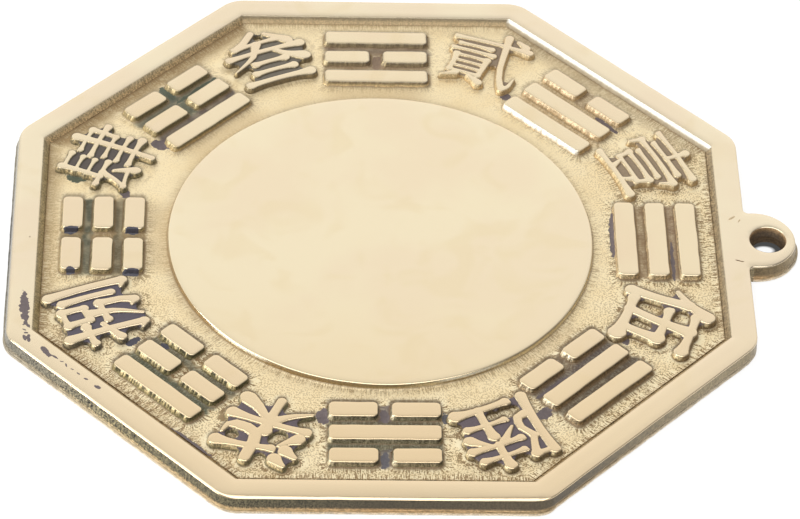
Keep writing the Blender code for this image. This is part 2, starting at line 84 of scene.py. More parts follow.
# Chosen for the looks
DISC_MIDDLE = -0.12  # the disc sits a little off the middle
DISC_POINTS = 480
HOLE_POINTS = 72
OUTLINE_PITCH = 0.8
GROUND_REACH = 58.0  # apothem of the ground's border, under the rim
GROUND_POINTS = 57.75  # scattered points of the ground stay within this apothem
WALL_STRIP = 1.4  # width of the finer ground along the walls
WALL_PITCH = 0.285
GROUND_PITCH = 0.55
RIM_PITCH = 0.42  # of the points along the rim's inner wall
RIM_TOP_PITCH = 0.5
CRUST_PITCH = 0.13
STROKE_PITCH = 0.11
RIM_MIDDLE = 61.0  # apothem that parts the rim's outer side from its inner one
EAR_ROOT = 60.5  # from here on along X, all sides are outer ones
EAR_FROM = 63.6  # from here on along X, the outline is the ear's
EAR_TOP_FROM = 64.0
EAR_SOFTNESS = 0.3
SHARP_FROM = math.radians(50)
CRUSTED_TRIGRAM = 4  # the tops of its bars carry thick patina

SIDES = 8
SECTOR = math.radians(45)
WHOLE = "whole"
BROKEN = "broken"
ROWS = ("inner", "middle", "outer")
# Round the plaque from +X: name, rows from the disc outwards, and the number in the corner that follows
TRIGRAMS = (
    ("heaven", (WHOLE, WHOLE, WHOLE), 1),
    ("lake", (WHOLE, WHOLE, BROKEN), 2),
    ("fire", (WHOLE, BROKEN, WHOLE), 3),
    ("thunder", (WHOLE, BROKEN, BROKEN), 4),
    ("earth", (BROKEN, BROKEN, BROKEN), 8),
    ("mountain", (BROKEN, BROKEN, WHOLE), 7),
    ("water", (BROKEN, WHOLE, BROKEN), 6),
    ("wind", (BROKEN, WHOLE, WHOLE), 5),
)

# Strokes of the numerals in hundredths: weight at the start, weight at the end, and the points in
# turn, sideways and outwards, in hundredths of the numeral's reach
STROKES = {
    1: (
        (90, 100, -90, 72, 90, 76), (110, 80, 0, 100, 0, 50), (80, 90, -62, 45, 64, 48),
        (100, 60, -86, 24, -92, -6), (90, 100, -86, 22, 88, 25), (100, 50, 88, 24, 76, -4),
        (80, 80, -52, -2, 52, 0), (100, 80, -56, -26, -50, -56), (80, 90, -56, -26, 56, -24),
        (100, 80, 56, -24, 49, -56), (80, 80, -50, -55, 49, -54), (70, 90, -36, -62, -24, -86),
        (90, 60, 36, -60, 24, -86), (100, 110, -84, -92, 84, -90),
    ),
    2: (
        (90, 100, -96, 60, 94, 66), (110, 100, 28, 100, 34, 60, 44, -10, 60, -66, 76, -90),
        (100, 40, 76, -90, 88, -80, 92, -46), (70, 110, 54, 96, 82, 80), (80, 90, -78, 38, 2, 41),
        (80, 90, -90, 16, 14, 19), (100, 90, -74, -6, -72, -68), (80, 80, -74, -6, 6, -4),
        (100, 90, 6, -4, 4, -68), (70, 70, -72, -27, 4, -26), (70, 70, -72, -48, 4, -47),
        (80, 80, -72, -68, 4, -67), (100, 40, -52, -74, -84, -94), (60, 110, -20, -74, 16, -92),
    ),
    3: (
        (110, 80, -8, 96, -40, 66, -68, 50), (90, 90, -68, 50, 54, 58), (70, 120, 24, 86, 54, 60, 74, 42),
        (100, 110, -94, 18, 96, 22), (110, 40, -10, 52, -36, 6, -94, -30),
        (70, 140, 26, 18, 54, -8, 92, -28), (100, 100, -38, -20, 40, -18), (100, 100, -50, -54, 50, -52),
        (110, 120, -80, -90, 80, -88),
    ),
    4: (
        (100, 90, -74, 90, -74, -12), (80, 90, -74, 84, -22, 86), (70, 80, -74, 53, -24, 55),
        (70, 80, -74, 22, -24, 24), (90, 90, -100, -12, -18, -9), (100, 70, -58, -12, -68, -48, -84, -78),
        (80, 80, -84, -78, -26, -66), (70, 120, -40, -34, -18, -86), (120, 90, 38, 100, 38, -100),
        (80, 80, -2, 72, 76, 74), (100, 80, 76, 74, 74, 10), (90, 100, -12, 41, 100, 44),
        (80, 80, -2, 9, 74, 11), (80, 90, -4, -24, 82, -22), (90, 110, -6, -56, 86, -53),
    ),
    5: (
        (140, 50, -40, 98, -64, 48, -98, 6), (110, 130, -62, 44, -62, -98), (100, 120, -30, 74, 92, 78),
        (130, 100, 24, 74, 0, -82), (100, 120, -26, 8, 72, 11), (130, 100, 72, 11, 60, -82),
        (110, 150, -38, -84, 88, -82),
    ),
    6: (
        (100, 120, -86, 90, -84, -94), (90, 100, -86, 86, -42, 88), (100, 80, -42, 88, -60, 32),
        (80, 110, -60, 32, -42, -2, -44, -32, -66, -38), (80, 90, -20, 66, 80, 70),
        (110, 90, 28, 100, 28, 32), (90, 100, -28, 29, 94, 33), (100, 40, 10, 26, -24, -12),
        (60, 120, 48, 28, 88, -4), (110, 90, 28, 4, 28, -86), (80, 90, -16, -38, 76, -35),
        (100, 130, -42, -90, 84, -86),
    ),
    7: (
        (70, 120, -80, 92, -52, 76), (70, 120, -96, 58, -66, 44), (50, 120, -48, 36, -84, -2),
        (90, 120, -34, 50, 92, 70), (130, 100, 10, 100, 10, 24, 26, 9, 68, 8),
        (100, 40, 68, 8, 86, 16, 90, 40), (100, 110, -90, -28, 90, -25), (120, 90, 0, 2, 0, -100),
        (110, 40, -2, -28, -38, -62, -82, -86), (70, 140, 2, -28, 40, -62, 80, -84),
    ),
    8: (
        (110, 100, -66, 100, -66, -84), (100, 40, -66, -84, -82, -76), (90, 100, -96, 48, -40, 51),
        (100, 60, -96, -16, -40, 10), (100, 90, -20, 86, -18, 32), (80, 90, -20, 86, 26, 88),
        (100, 90, 26, 88, 24, 32), (80, 80, -18, 33, 24, 34), (90, 90, -30, -8, 28, -6),
        (100, 110, 28, -6, 24, -60, 12, -88), (100, 40, 12, -88, -2, -78),
        (110, 40, 0, 22, -8, -36, -38, -92), (100, 90, 54, 76, 54, -46), (110, 110, 84, 100, 84, -84),
        (100, 40, 84, -84, 64, -74),
    ),
}

# Profiles from below upwards. Each row begins with a level. The next number is how far the ring lies
# outside the outline, or how much wider the hole is; the last ones are said with each profile
PLATE_EDGE = ((0, -0.36), (0.1, -0.14), (0.28, -0.03), (0.55, 0), (0.9, 0), (1.08, -0.05), (1.17, -0.16), (1.2, -0.32))
PLATE_HOLE = ((0, -0.3), (0.15, -0.5), (0.6, -0.42), (LIP_TOP, -0.2))
RIM_HOLE = ((1.2, -0.2), (2.2, -0.13), (3.0, -0.1), (3.12, -0.06), (3.19, 0.0), (3.235, 0.1))
# The rim's edge where it is rounded, with the share of roughness, and where it is crisp
SOFT_EDGE = ((1.2, 0.3, 0), (1.5, 0.26, 1), (1.9, 0.19, 1), (2.3, 0.12, 1), (2.6, 0.05, 1), (2.8, 0.0, 0.5),
             (2.9, -0.05, 0), (2.98, -0.14, 0), (3.07, -0.3, 0), (3.15, -0.5, 0))
CRISP_EDGE = ((1.2, 0.3), (1.5, 0.26), (1.9, 0.19), (2.3, 0.12), (2.7, 0.05), (2.95, 0.0),
              (3.1, -0.02), (3.18, -0.05), (3.22, -0.12), (3.24, -0.3))
# The rim's inner wall: apothem, and share of the casting's streaks
INNER_WALL = ((1.2, 58.0, 0), (2.05, 58.0, 0), (2.25, 58.22, 1), (2.55, 58.5, 1), (2.85, 58.76, 1),
              (3.05, 58.94, 0.4), (3.14, 59.03, 0), (3.18, 59.12, 0), (3.215, 59.27, 0))
DISC_EDGE = ((1.9, 0.2), (2.2, 0.12), (2.45, 0.08), (2.7, 0.04), (2.88, 0.02), (2.98, 0), (3.05, -0.04),
             (3.1, -0.1), (3.135, -0.19), (3.158, -0.32), (3.176, -0.52), (3.19, -0.85), (3.2, -1.5),
             (3.2, -8), (3.2, -20), (3.2, -30))
# A bar's edge: further out where it faces the side light, and share of the casting's beads
BAR_EDGE = ((1.9, 0.26, 0.26, 0), (2.2, 0.16, 0.24, 1), (2.45, 0.11, 0.2, 1), (2.65, 0.07, 0.13, 1),
            (2.84, 0.04, 0.07, 0.8), (2.98, 0.01, 0.02, 0.4), (3.05, -0.02, 0, 0), (3.09, -0.05, 0, 0),
            (3.125, -0.1, 0, 0), (3.15, -0.16, 0, 0), (3.168, -0.27, 0, 0), (3.182, -0.42, 0, 0),
            (3.189, -0.54, 0, 0))
BAR_TOP = 3.195
UNDER_PIECES = 2.0  # the ground's level inside the raised pieces
UNDER_NUMERALS = 1.85
FAR_SHADE = 1.28  # how far behind a wall its painted shade reaches
CONTOURS = (-0.3, -0.16, -0.08, -0.02, 0.04, 0.1, 0.17, 0.3)
PATCH_CONTOURS = (0.0, 0.12, 0.28)

# Wall tones of the disc with painted light and shade: under the edge, lower down, and the levels at which one turns
# into the other.
# In painted shade at the back and in front, in the painted side light, and as painted highlights in the brightest
# places
DISC_SHADE = ((176, 157, 116), (232, 212, 166), 2.92, 2.8)
DISC_FRONT = ((140, 124, 88), (196, 172, 124), 2.8, 2.4)
DISC_LIT = ((160, 136, 98), (160, 132, 86), 2.75, 2.5)
DISC_HIGHLIGHT = ((255, 250, 232), (170, 144, 96), 2.75, 2.6)

# By numeral: how much bolder than the solids' strokes it is cut, and how wide a gap fills with patina
BOLD = {1: 1.2, 2: 1.15, 3: 1.35, 4: 1.2, 5: 1.55, 6: 1.4, 7: 1.55, 8: 1.42}
CLOSED = {1: 0.8, 2: 0.8, 3: 0.85, 4: 0.9, 5: 1.1, 6: 1.1, 7: 1.15, 8: 1.2}
JOINT = 0.06  # how softly strokes join
BOW = 0.022  # how far a straight stroke bows, as a share of its length
SET_DOWN = (-0.34, 0.26)  # from a level or upright stroke's start to where the brush sets down
TAPERING_END = 0.6  # strokes that end no heavier than this taper

# Share of a stroke's length, and the brush's pressure there, by the way the stroke runs
BRUSH_STEPS = (0, 0.08, 0.2, 0.4, 0.6, 0.8, 0.92, 1)
PRESSURE = {
    "level": (1.2, 0.98, 0.84, 0.8, 0.8, 0.88, 1.08, 1.3),
    "upright": (1.3, 1.14, 1.02, 0.95, 0.93, 0.96, 1.04, 1.12),
    "tapering": (1.2, 1.14, 1.06, 1, 1, 1, 1, 1),
    "slanting": (0.9, 0.95, 1, 1.06, 1.12, 1.22, 1.26, 1.02),
}

# Patina between the rows of each trigram: red, green, blue and amount for the inner slot, the outer
# slot, and the breaks of the inner, middle and outer row
SLOTS = (
    ((146, 120, 84, 0.9), (144, 118, 88, 0.92), None, None, None),
    ((196, 166, 120, 0.6), (180, 154, 112, 0.65), None, None, (160, 136, 104, 0.75)),
    ((150, 128, 98, 0.85), (124, 106, 88, 0.88), None, (150, 126, 98, 0.85), None),
    ((104, 92, 82, 0.94), (102, 100, 82, 0.9), None, (94, 96, 76, 0.92), (92, 96, 80, 0.94)),
    ((104, 92, 62, 0.95), (82, 82, 60, 0.95), (150, 126, 88, 0.75), (158, 132, 92, 0.75), (144, 122, 84, 0.75)),
    ((92, 88, 66, 0.95), (80, 86, 66, 0.95), (168, 142, 96, 0.65), (172, 146, 98, 0.65), None),
    ((86, 80, 58, 0.96), (84, 82, 60, 0.96), (94, 82, 84, 0.93), None, (98, 94, 94, 0.9)),
    ((90, 78, 72, 0.97), (92, 79, 62, 0.97), (110, 92, 70, 0.9), None, None),
)

# Patina along the rim's foot, by side: red, green, blue, amount at the wall and share of it farther out
FEET = (
    (176, 150, 106, 0.65, 0.15), (164, 142, 106, 0.8, 0.75), (180, 154, 110, 0.9, 0.45), (142, 116, 76, 0.9, 1),
    (158, 130, 84, 0.85, 0.75), (168, 140, 94, 0.5, 0.6), (168, 142, 96, 0.45, 0.5), (172, 146, 102, 0.4, 0.1),
)
# Amount of patina at the disc's foot by direction in degrees
DISC_FEET = ((0, 0.4), (30, 0.4), (90, 0.42), (120, 0.5), (150, 0.7), (175, 0.95), (205, 0.95), (240, 0.55),
             (270, 0.4), (300, 0.2), (330, 0.3), (360, 0.4))
DISC_FOOT_TONE = (132, 106, 64)
# Painted shade at the foot of the bars and numerals
CONTACT_SHADE = (98, 79, 50)
# Sides with a duller ground between the disc and the inner bar
FADED_SIDES = (2, 3, 4, 7)
FADED_TONE = (196, 170, 124)

# Tones of the edge by the direction it faces, in degrees: upper wall, its grit, and the lip
EDGE_TONES = (
    (0, (146, 130, 96), 0.5, (176, 158, 124)), (90, (176, 156, 118), 0.3, (190, 170, 132)),
    (150, (150, 144, 126), 0.3, (172, 162, 138)), (180, (134, 130, 120), 0.12, (116, 114, 110)),
    (195, (126, 122, 112), 0.2, (136, 130, 116)), (225, (120, 110, 80), 2.0, (186, 166, 128)),
    (250, (96, 88, 64), 1.0, (196, 166, 120)), (270, (82, 73, 55), 0.4, (196, 160, 114)),
    (295, (98, 86, 64), 0.3, (178, 154, 118)), (325, (164, 147, 112), 0.5, (186, 170, 142)),
    (360, (146, 130, 96), 0.5, (176, 158, 124)),
)
# A painted reflection of the white floor, low on the edge towards the front
EDGE_FLOOR_REFLECTION = (252, 236, 208)
EAR_WALL_TONE = (150, 126, 84)
HOLE_TONE = (146, 120, 88)

# Tones of the rim's inner wall by side: just under the rim's top, and lower down, and its grit. Under the top, the
# side at 45 degrees has a painted highlight and the side at 90 degrees painted shade
INNER_TONES = (
    ((150, 134, 104), (146, 126, 94), 0.7), ((255, 253, 241), (172, 155, 124), 0.12),
    ((142, 127, 98), (194, 170, 129), 0.25), ((186, 166, 130), (190, 162, 118), 0.6),
    ((162, 146, 110), (158, 139, 99), 0.6), ((160, 136, 98), (160, 136, 98), 0.9),
    ((150, 128, 94), (150, 126, 88), 0.9), ((160, 138, 104), (152, 130, 94), 0.9),
)

# How strongly the edge is rounded by the direction it faces, in degrees
SOFTNESS = ((0, 0.1), (135, 0.1), (165, 0.7), (180, 0.8), (205, 0.6), (225, 0.5), (245, 0.7), (265, 1), (280, 1),
            (300, 0.2), (315, 0), (360, 0.1))

# Tones of the bars' walls by trigram: under the top edge, darkened as painted shade, at the foot, lightened as a
# painted reflection of the ground, a painted highlight in the side light, how beaded that highlight is, and the height
# at which the polish begins
BAR_TONES = (
    ((164, 142, 108), (200, 174, 132), (232, 214, 172), 0.6, 3.08),
    ((176, 150, 110), (196, 170, 128), (222, 196, 154), 0.6, 3.13),
    ((122, 108, 88), (146, 128, 101), (216, 196, 150), 0.6, 3.14),
    ((124, 112, 82), (150, 134, 96), (210, 188, 138), 0.6, 3.13),
    ((136, 124, 92), (164, 146, 108), (210, 190, 144), 0.6, 3.07),
    ((80, 75, 50), (116, 108, 74), (196, 178, 130), 1.0, 3.1),
    ((78, 72, 56), (130, 122, 94), (222, 208, 172), 0.5, 3.09),
    ((118, 100, 72), (150, 126, 92), (230, 214, 180), 0.8, 3.09),
)
# Bars whose walls take a paler painted reflection of the ground at the foot
PALE_FEET = {"fire_inner_bar": (226, 202, 156), "heaven_outer_bar": (222, 198, 156),
             "thunder_inner_bar": (186, 162, 118)}
BAR_GRIT = (0.7, 0.3, 0.3, 0.3, 0.7, 0.7, 0.7, 0.7)
# The bar whose wall takes a painted reflection of the bright side light: tone, and how beaded it is
WHITE_BAR = "lake_inner_bar"
WHITE_BAR_LIT = ((254, 250, 236), 0.15)

# Tones of the numerals by number: walls out of the side light, a painted highlight on walls that face the side light,
# and the patina between strokes
NUMERAL_TONES = {
    1: ((176, 150, 110), (226, 204, 158), (146, 126, 100)), 2: ((190, 164, 122), (226, 204, 158), (140, 120, 96)),
    3: ((126, 112, 86), (206, 184, 136), (106, 98, 84)), 4: ((122, 114, 88), (200, 178, 132), (84, 75, 68)),
    5: ((130, 110, 80), (226, 208, 164), (104, 90, 88)), 6: ((112, 98, 72), (224, 206, 162), (96, 84, 88)),
    7: ((124, 118, 92), (214, 194, 148), (96, 84, 88)), 8: ((104, 98, 84), (200, 182, 136), (86, 79, 88)),
}
NUMERAL_GRIT = {1: 0.3, 2: 0.3, 3: 0.3, 4: 0.6, 5: 0.6, 6: 0.6, 7: 0.6, 8: 0.6}
# Where a stroke's polish begins, as a distance outside its outline
NUMERAL_EDGE = {1: -0.11, 2: -0.11, 3: -0.11, 4: -0.11, 5: -0.02, 6: -0.02, 7: -0.02, 8: -0.02}
# Height of a stroke by the distance outside its outline, and of the patina between strokes by the distance
# outside its patches
RELIEF = ((-0.45, 3.2), (-0.28, 3.192), (-0.16, 3.172), (-0.08, 3.135), (-0.02, 3.075), (0.03, 2.97), (0.09, 2.78),
          (0.16, 2.45), (0.4, 1.5))
PATCH_RELIEF = ((-0.3, 2.95), (0, 2.89), (0.12, 2.5), (0.28, 1.9))

PURPLE = (106, 94, 93)
INK = (74, 72, 82)
GREEN = (84, 90, 72)
BROWN = (128, 102, 72)
FAINT = (196, 172, 134)

# Thick patina by where it lies: the turn in degrees of the direction it is placed from, middle sideways
# and outwards, half length and half width, tilt in degrees, and tone
CRUSTS = {
    "ground": (
        (0, -2.4, 40.4, 6.4, 0.62, -2, PURPLE), (0, 4.6, 50.4, 5.0, 0.35, 0, PURPLE),
        (45, 7.0, 50.7, 3.0, 0.42, -4, PURPLE), (45, -11.0, 43.4, 1.3, 0.9, 0, PURPLE),
        (90, 0.0, 47.4, 0.8, 2.1, 0, (140, 116, 92)), (135, -10.0, 44.4, 1.3, 1.7, 20, PURPLE),
        (135, 0.3, 53.4, 0.75, 2.1, 0, GREEN), (135, 4.5, 50.5, 5.0, 0.42, 2, GREEN),
        (180, 11.4, 44.6, 1.5, 0.8, 25, PURPLE), (225, 11.3, 48.0, 0.7, 1.4, 0, INK),
        (270, 0.0, 43.3, 0.75, 1.5, 0, PURPLE), (270, 10.2, 43.6, 1.0, 1.9, 0, PURPLE),
        (270, 0.1, 53.7, 0.7, 1.8, 0, (98, 94, 98)), (270, -10.1, 43.8, 0.65, 1.2, 0, (92, 88, 88)),
        (315, 5.4, 45.5, 4.6, 0.48, 0, PURPLE), (315, 11.0, 48.6, 1.6, 1.2, 0, PURPLE),
        (315, -11.6, 45.5, 0.9, 1.6, 0, PURPLE), (247.5, -3.6, 56.2, 2.6, 0.45, 6, PURPLE),
        (225, -12.5, 57.9, 5.0, 0.5, 2, PURPLE), (202.5, 7.0, 57.4, 1.0, 1.4, 0, GREEN),
        (157.5, -6.2, 54.8, 1.3, 1.9, 10, GREEN),
    ),
    "both": (
        (180, -9.4, 53.3, 0.5, 0.75, 0, INK), (180, 1.0, 53.6, 0.52, 1.2, 8, INK),
        (180, -9.5, 42.9, 0.52, 1.4, 0, INK), (180, 1.0, 42.9, 0.48, 1.2, 0, INK),
        (225, 6.9, 45.1, 0.95, 0.5, -8, INK),
    ),
    "top": (
        (180, -19.0, 60.5, 3.9, 0.78, 4, PURPLE), (180, -23.4, 59.9, 1.0, 0.25, 35, PURPLE),
        (180, -24.6, 60.4, 0.35, 0.12, 60, PURPLE), (180, -25.4, 60.0, 0.4, 0.18, 80, PURPLE),
        (180, -26.5, 60.2, 0.7, 0.3, 10, PURPLE), (225, 23.3, 60.9, 0.9, 0.32, -40, PURPLE),
        (225, 18.8, 61.1, 1.5, 0.5, -14, PURPLE), (225, 17.0, 60.9, 0.9, 0.18, 8, PURPLE),
        (225, 15.2, 60.8, 0.4, 0.12, 30, PURPLE), (225, 14.0, 60.9, 0.5, 0.12, -30, PURPLE),
        (225, 12.6, 60.8, 0.4, 0.1, 20, PURPLE), (225, 11.2, 60.8, 0.35, 0.12, 0, PURPLE),
        (225, 9.4, 60.75, 0.4, 0.2, 20, PURPLE), (225, 6.6, 60.7, 0.72, 0.36, 12, PURPLE),
        (0, -5.4, 61.3, 0.7, 0.17, -50, FAINT), (0, -4.7, 62.5, 0.4, 0.14, -30, FAINT),
        (0, 5.5, 61.7, 0.9, 0.16, 72, BROWN), (180, -1.5, 60.4, 0.25, 0.1, 0, BROWN),
    ),
}


def lattice(ix, iy, seed):
    """A scattered number from -1 to 1 for each whole place."""
    code = ix * 374761393 + iy * 668265263 + seed * 974634777
    code = (code ^ (code >> 13)) * 1274126177
    return ((code ^ (code >> 16)) & 0xFFFF) / 32767.5 - 1


def noise(x, y, seed):
    """Smooth noise from -1 to 1 with a grain of one unit."""
    left, low = np.floor(x).astype(np.int64), np.floor(y).astype(np.int64)
    across, up = x - left, y - low
    across, up = across * across * (3 - 2 * across), up * up * (3 - 2 * up)
    bottom, top = [mixed(lattice(left, row, seed), lattice(left + 1, row, seed), across) for row in (low, low + 1)]
    return mixed(bottom, top, up)


def mixed(first, second, share):
    return first * (1 - share) + second * share


def step_up(value, low, high):
    """Smooth step from 0 at low to 1 at high, either way round."""
    t = np.clip((value - low) / (high - low), 0, 1)
    return t * t * (3 - 2 * t)


def within(value, start, full, fading, end):
    """Smooth rise from start to full, and fall from fading to end."""
    return step_up(value, start, full) * step_up(value, end, fading)


def by_row(value, table, column=1):
    """A column of a table, read at values between those that its rows begin with."""
    return np.interp(value, [row[0] for row in table], [row[column] for row in table])


def linear(red, green, blue):
    """A tone as a shader's linear colour."""
    shares = [value / 255 for value in (red, green, blue)]
    return (*[share / 12.92 if share < 0.04045 else ((share + 0.055) / 1.055) ** 2.4 for share in shares], 1)


def rgb(tone):
    """Linear red, green and blue of a tone."""
    return np.array(linear(*tone[:3])[:3])


def tones_by_row(value, table, column):
    tones = np.array([rgb(row[column]) for row in table])
    return np.stack([np.interp(value, [row[0] for row in table], tones[:, axis]) for axis in range(3)], -1)


def local(points, turn):
    """Sideways and outward places of points, seen from a direction on the plaque."""
    sine, cosine = math.sin(turn), math.cos(turn)
    return points[:, 0] * sine - points[:, 1] * cosine, points[:, 0] * cosine + points[:, 1] * sine


def world(u, v, turn):
    """Places on the plaque, from sideways and outward ones: the reverse of local."""
    sine, cosine = math.sin(turn), math.cos(turn)
    return np.stack((u * sine + v * cosine, v * sine - u * cosine), -1)


def unit(turns):
    return np.stack((np.cos(turns), np.sin(turns)), -1)


def all_round(count):
    return np.arange(count) * 2 * math.pi / count


def bearing(points, x=0.0):
    """Directions of points from a place on the X axis, in degrees from 0 to 360."""
    return np.degrees(np.arctan2(points[:, 1], points[:, 0] - x)) % 360


def away_from(points, x=0.0, y=0.0):
    """Distance of points from a place, which is the middle of the plaque unless it is given."""
    return np.hypot(points[:, 0] - x, points[:, 1] - y)


def facing(ways):
    """How far directions on the plaque face its lower left, where the strong side light stands."""
    return np.clip(-0.707 * (ways[:, 0] + ways[:, 1]), 0, 1)


def reaches(points):
    """Distance of points along each side's direction."""
    return np.array([local(points, side * SECTOR)[1] for side in range(SIDES)])


def apothem(points):
    """Size of the octagon that each point lies on."""
    return np.max(reaches(points), axis=0)


def bar_distance(u, v, half_length):
    """Distance outside a bar's outline."""
    a = np.abs(u) - half_length + BAR_CORNER
    b = np.abs(v) - BAR_WIDTH / 2 + BAR_CORNER
    return np.hypot(np.maximum(a, 0), np.maximum(b, 0)) + np.minimum(np.maximum(a, b), 0) - BAR_CORNER


def bar_along(u, v, half_length):
    """Place along a bar's outline, of the point of the outline that is nearest."""
    a = half_length - BAR_CORNER
    b = BAR_WIDTH / 2 - BAR_CORNER
    p, q = np.abs(u) - a, np.abs(v) - b
    quarter = math.pi / 2 * BAR_CORNER
    turn = np.arctan2(np.maximum(q, 0), np.maximum(p, 1e-9))
    corner = a + quarter - turn * BAR_CORNER
    along = np.where((p > 0) & (q > 0), corner, np.where(q - p > 0, np.abs(u), a + quarter + b - np.abs(v)))
    return along + 40 * (u < 0) + 80 * (v < 0)


def row_stretches(kind):
    """The bars of a row: how their names end, middle sideways, and half length."""
    if kind == WHOLE:
        return (("", 0, BAR_LENGTH / 2),)
    half = (BAR_LENGTH - BAR_BREAK) / 4
    return (("_left", -BAR_BREAK / 2 - half, half), ("_right", BAR_BREAK / 2 + half, half))


BARS = [(f"{trigram}_{row}_bar{suffix}", index, aside, radius, half)
        for index, (trigram, kinds, _) in enumerate(TRIGRAMS)
        for row, radius, kind in zip(ROWS, ROW_RADII, kinds)
        for suffix, aside, half in row_stretches(kind)]


def on_bar(points, bar):
    """Sideways and outward places of points from a bar's middle, and its half length."""
    _, index, aside, radius, half = bar
    u, v = local(points, index * SECTOR)
    return u - aside, v - radius, half


def stroke_kind(path, end):
    """The way a stroke runs."""
    across, rise = np.abs(path[-1] - path[0])
    if end <= TAPERING_END:
        return "tapering"
    if rise < 0.4 * across:
        return "level"
    return "upright" if across < 0.4 * rise else "slanting"


def brushed(strokes, bold):
    """Straight stretches of brush strokes: ends, half widths, place along the stroke, and stroke number."""
    rows = []
    for number, stroke in enumerate(strokes):
        start, end = stroke[0] / 100, stroke[1] / 100
        path = np.array(stroke[2:]).reshape(-1, 2) / 100 * NUMERAL_REACH
        lengths = np.concatenate(((0,), np.cumsum(np.hypot(*np.diff(path, axis=0).T))))
        kind = stroke_kind(path, end)
        steps = np.array(BRUSH_STEPS)
        spots = np.stack([np.interp(steps * lengths[-1], lengths, path[:, axis]) for axis in (0, 1)], -1)
        if len(path) == 2:
            way = (path[1] - path[0]) / lengths[-1]
            spots += np.outer(np.sin(steps * math.pi), (-way[1], way[0])) * BOW * lengths[-1]
        widths = HALF_STROKE * bold * (start + (end - start) * steps) * np.array(PRESSURE[kind])
        if kind in ("level", "upright"):
            spots = np.concatenate((spots[:1] + np.array(SET_DOWN) * bold, spots))
            widths = np.concatenate((widths[:1] * 0.5, widths))
        reached = 0.0
        for first, last, thick, thin in zip(spots[:-1], spots[1:], widths[:-1], widths[1:]):
            rows.append((*first, *last, thick, thin, reached, number))
            reached += math.dist(first, last)
    return np.array(rows)


NUMERALS = [(number, (index + 0.5) * SECTOR, brushed(STROKES[number], BOLD[number]))
            for index, (_, _, number) in enumerate(TRIGRAMS)]


def stretch_distances(u, v, rows):
    """Distance of each point from each stretch, and how far along its stroke it is."""
    ax, ay, bx, by, ra, rb, reached, _ = [rows[:, column][None, :] for column in range(8)]
    px, py = u[:, None] - ax, v[:, None] - ay
    dx, dy = bx - ax, by - ay
    length = np.hypot(dx, dy)
    t = np.clip((px * dx + py * dy) / length ** 2, 0, 1)
    away = np.hypot(px - dx * t, py - dy * t)
    return away - (ra + (rb - ra) * t), reached + t * length


def stroke_distance(u, v, rows):
    """Distance from the strokes with their joints a little rounded."""
    first = np.searchsorted(rows[:, 7], np.arange(rows[-1, 7] + 1))
    near = np.minimum.reduceat(stretch_distances(u, v, rows)[0], first, axis=1)
    return -JOINT * np.log(np.sum(np.exp(-near / JOINT), axis=1))


def rounded_octagon(points, reach, radius):
    """How far points are inside an octagon with rounded corners."""
    places = np.array([local(points, side * SECTOR) for side in range(SIDES)])
    side = np.argmax(places[:, 1], axis=0)
    u, v = places[side, 0, np.arange(len(points))], places[side, 1, np.arange(len(points))]
    across = np.maximum(np.abs(u) - (reach - radius) * math.tan(SECTOR / 2), 0)
    out = v - (reach - radius)
    return radius - np.where(out > 0, np.hypot(across, out), out)


def wall_table(points):
    """Distance of each point from every wall that stands on the ground: disc, rim, bars and numerals."""
    table = [away_from(points, 0, DISC_MIDDLE) - DISC_RADIUS, *(RIM_FOOT - reaches(points))]
    table += [bar_distance(*on_bar(points, bar)) for bar in BARS]
    for _, turn, rows in NUMERALS:
        u, v = local(points, turn)
        v = v - NUMERAL_RADIUS
        close = np.maximum(np.abs(u), np.abs(v)) < NUMERAL_HALF + 4
        away = np.full(len(points), 50.0)
        away[close] = stroke_distance(u[close], v[close], rows)
        table.append(away)
    return np.array(table)


def wall_along(points, wall):
    """Place along one wall's foot."""
    if wall == 0:
        return np.arctan2(points[:, 1], points[:, 0]) * DISC_RADIUS
    if wall <= SIDES:
        return local(points, (wall - 1) * SECTOR)[0] + 60 * wall
    wall -= SIDES + 1
    if wall < len(BARS):
        return bar_along(*on_bar(points, BARS[wall])) + 160 * wall
    _, turn, rows = NUMERALS[wall - len(BARS)]
    u, v = local(points, turn)
    near, along = stretch_distances(u, v - NUMERAL_RADIUS, rows)
    best = np.argmin(near, axis=1)
    return along[np.arange(len(points)), best] + 20 * rows[best, 7]


class Stain:
    """Layers of colour at points, each laid over those before."""

    def __init__(self, count):
        self.tone, self.amount = np.zeros((count, 3)), np.zeros(count)

    def lay(self, tone, amount):
        amount = np.clip(amount, 0, 1)
        self.tone = self.tone * (1 - amount)[:, None] + rgb(tone) * amount[:, None]
        self.amount = self.amount * (1 - amount) + amount

    def colours(self):
        return np.column_stack((self.tone / np.maximum(self.amount, 1e-4)[:, None], self.amount))


def crust(points, where):
    """Thick patina at points, as colours with their amount."""
    stain = Stain(len(points))
    for degrees, u0, v0, half_u, half_v, tilt, tone in CRUSTS[where] + CRUSTS["both"]:
        u, v = local(points, math.radians(degrees))
        close = np.hypot(u - u0, v - v0) < 2 * max(half_u, half_v) + 1
        if not np.any(close):
            continue
        sine, cosine = math.sin(math.radians(tilt)), math.cos(math.radians(tilt))
        a = ((u - u0) * cosine + (v - v0) * sine) / half_u
        b = ((v - v0) * cosine - (u - u0) * sine) / half_v
        ragged = 0.28 * noise(u * 1.7, v * 1.7, 81) + 0.18 * noise(u * 4.1, v * 4.1, 82)
        stain.lay(tone, np.where(close, step_up(np.hypot(a, b) + ragged, 1.45, 0.55), 0))
    return stain.colours()


def triangulated(points, edges=()):
    """Triangles over scattered points: the points, the triangles, and which given points each point was."""
    found = delaunay_2d_cdt([tuple(point) for point in points], list(edges), [], 0, 1e-5, bool(edges))
    return np.array([tuple(vert) for vert in found[0]]), np.array(found[2]), found[3]


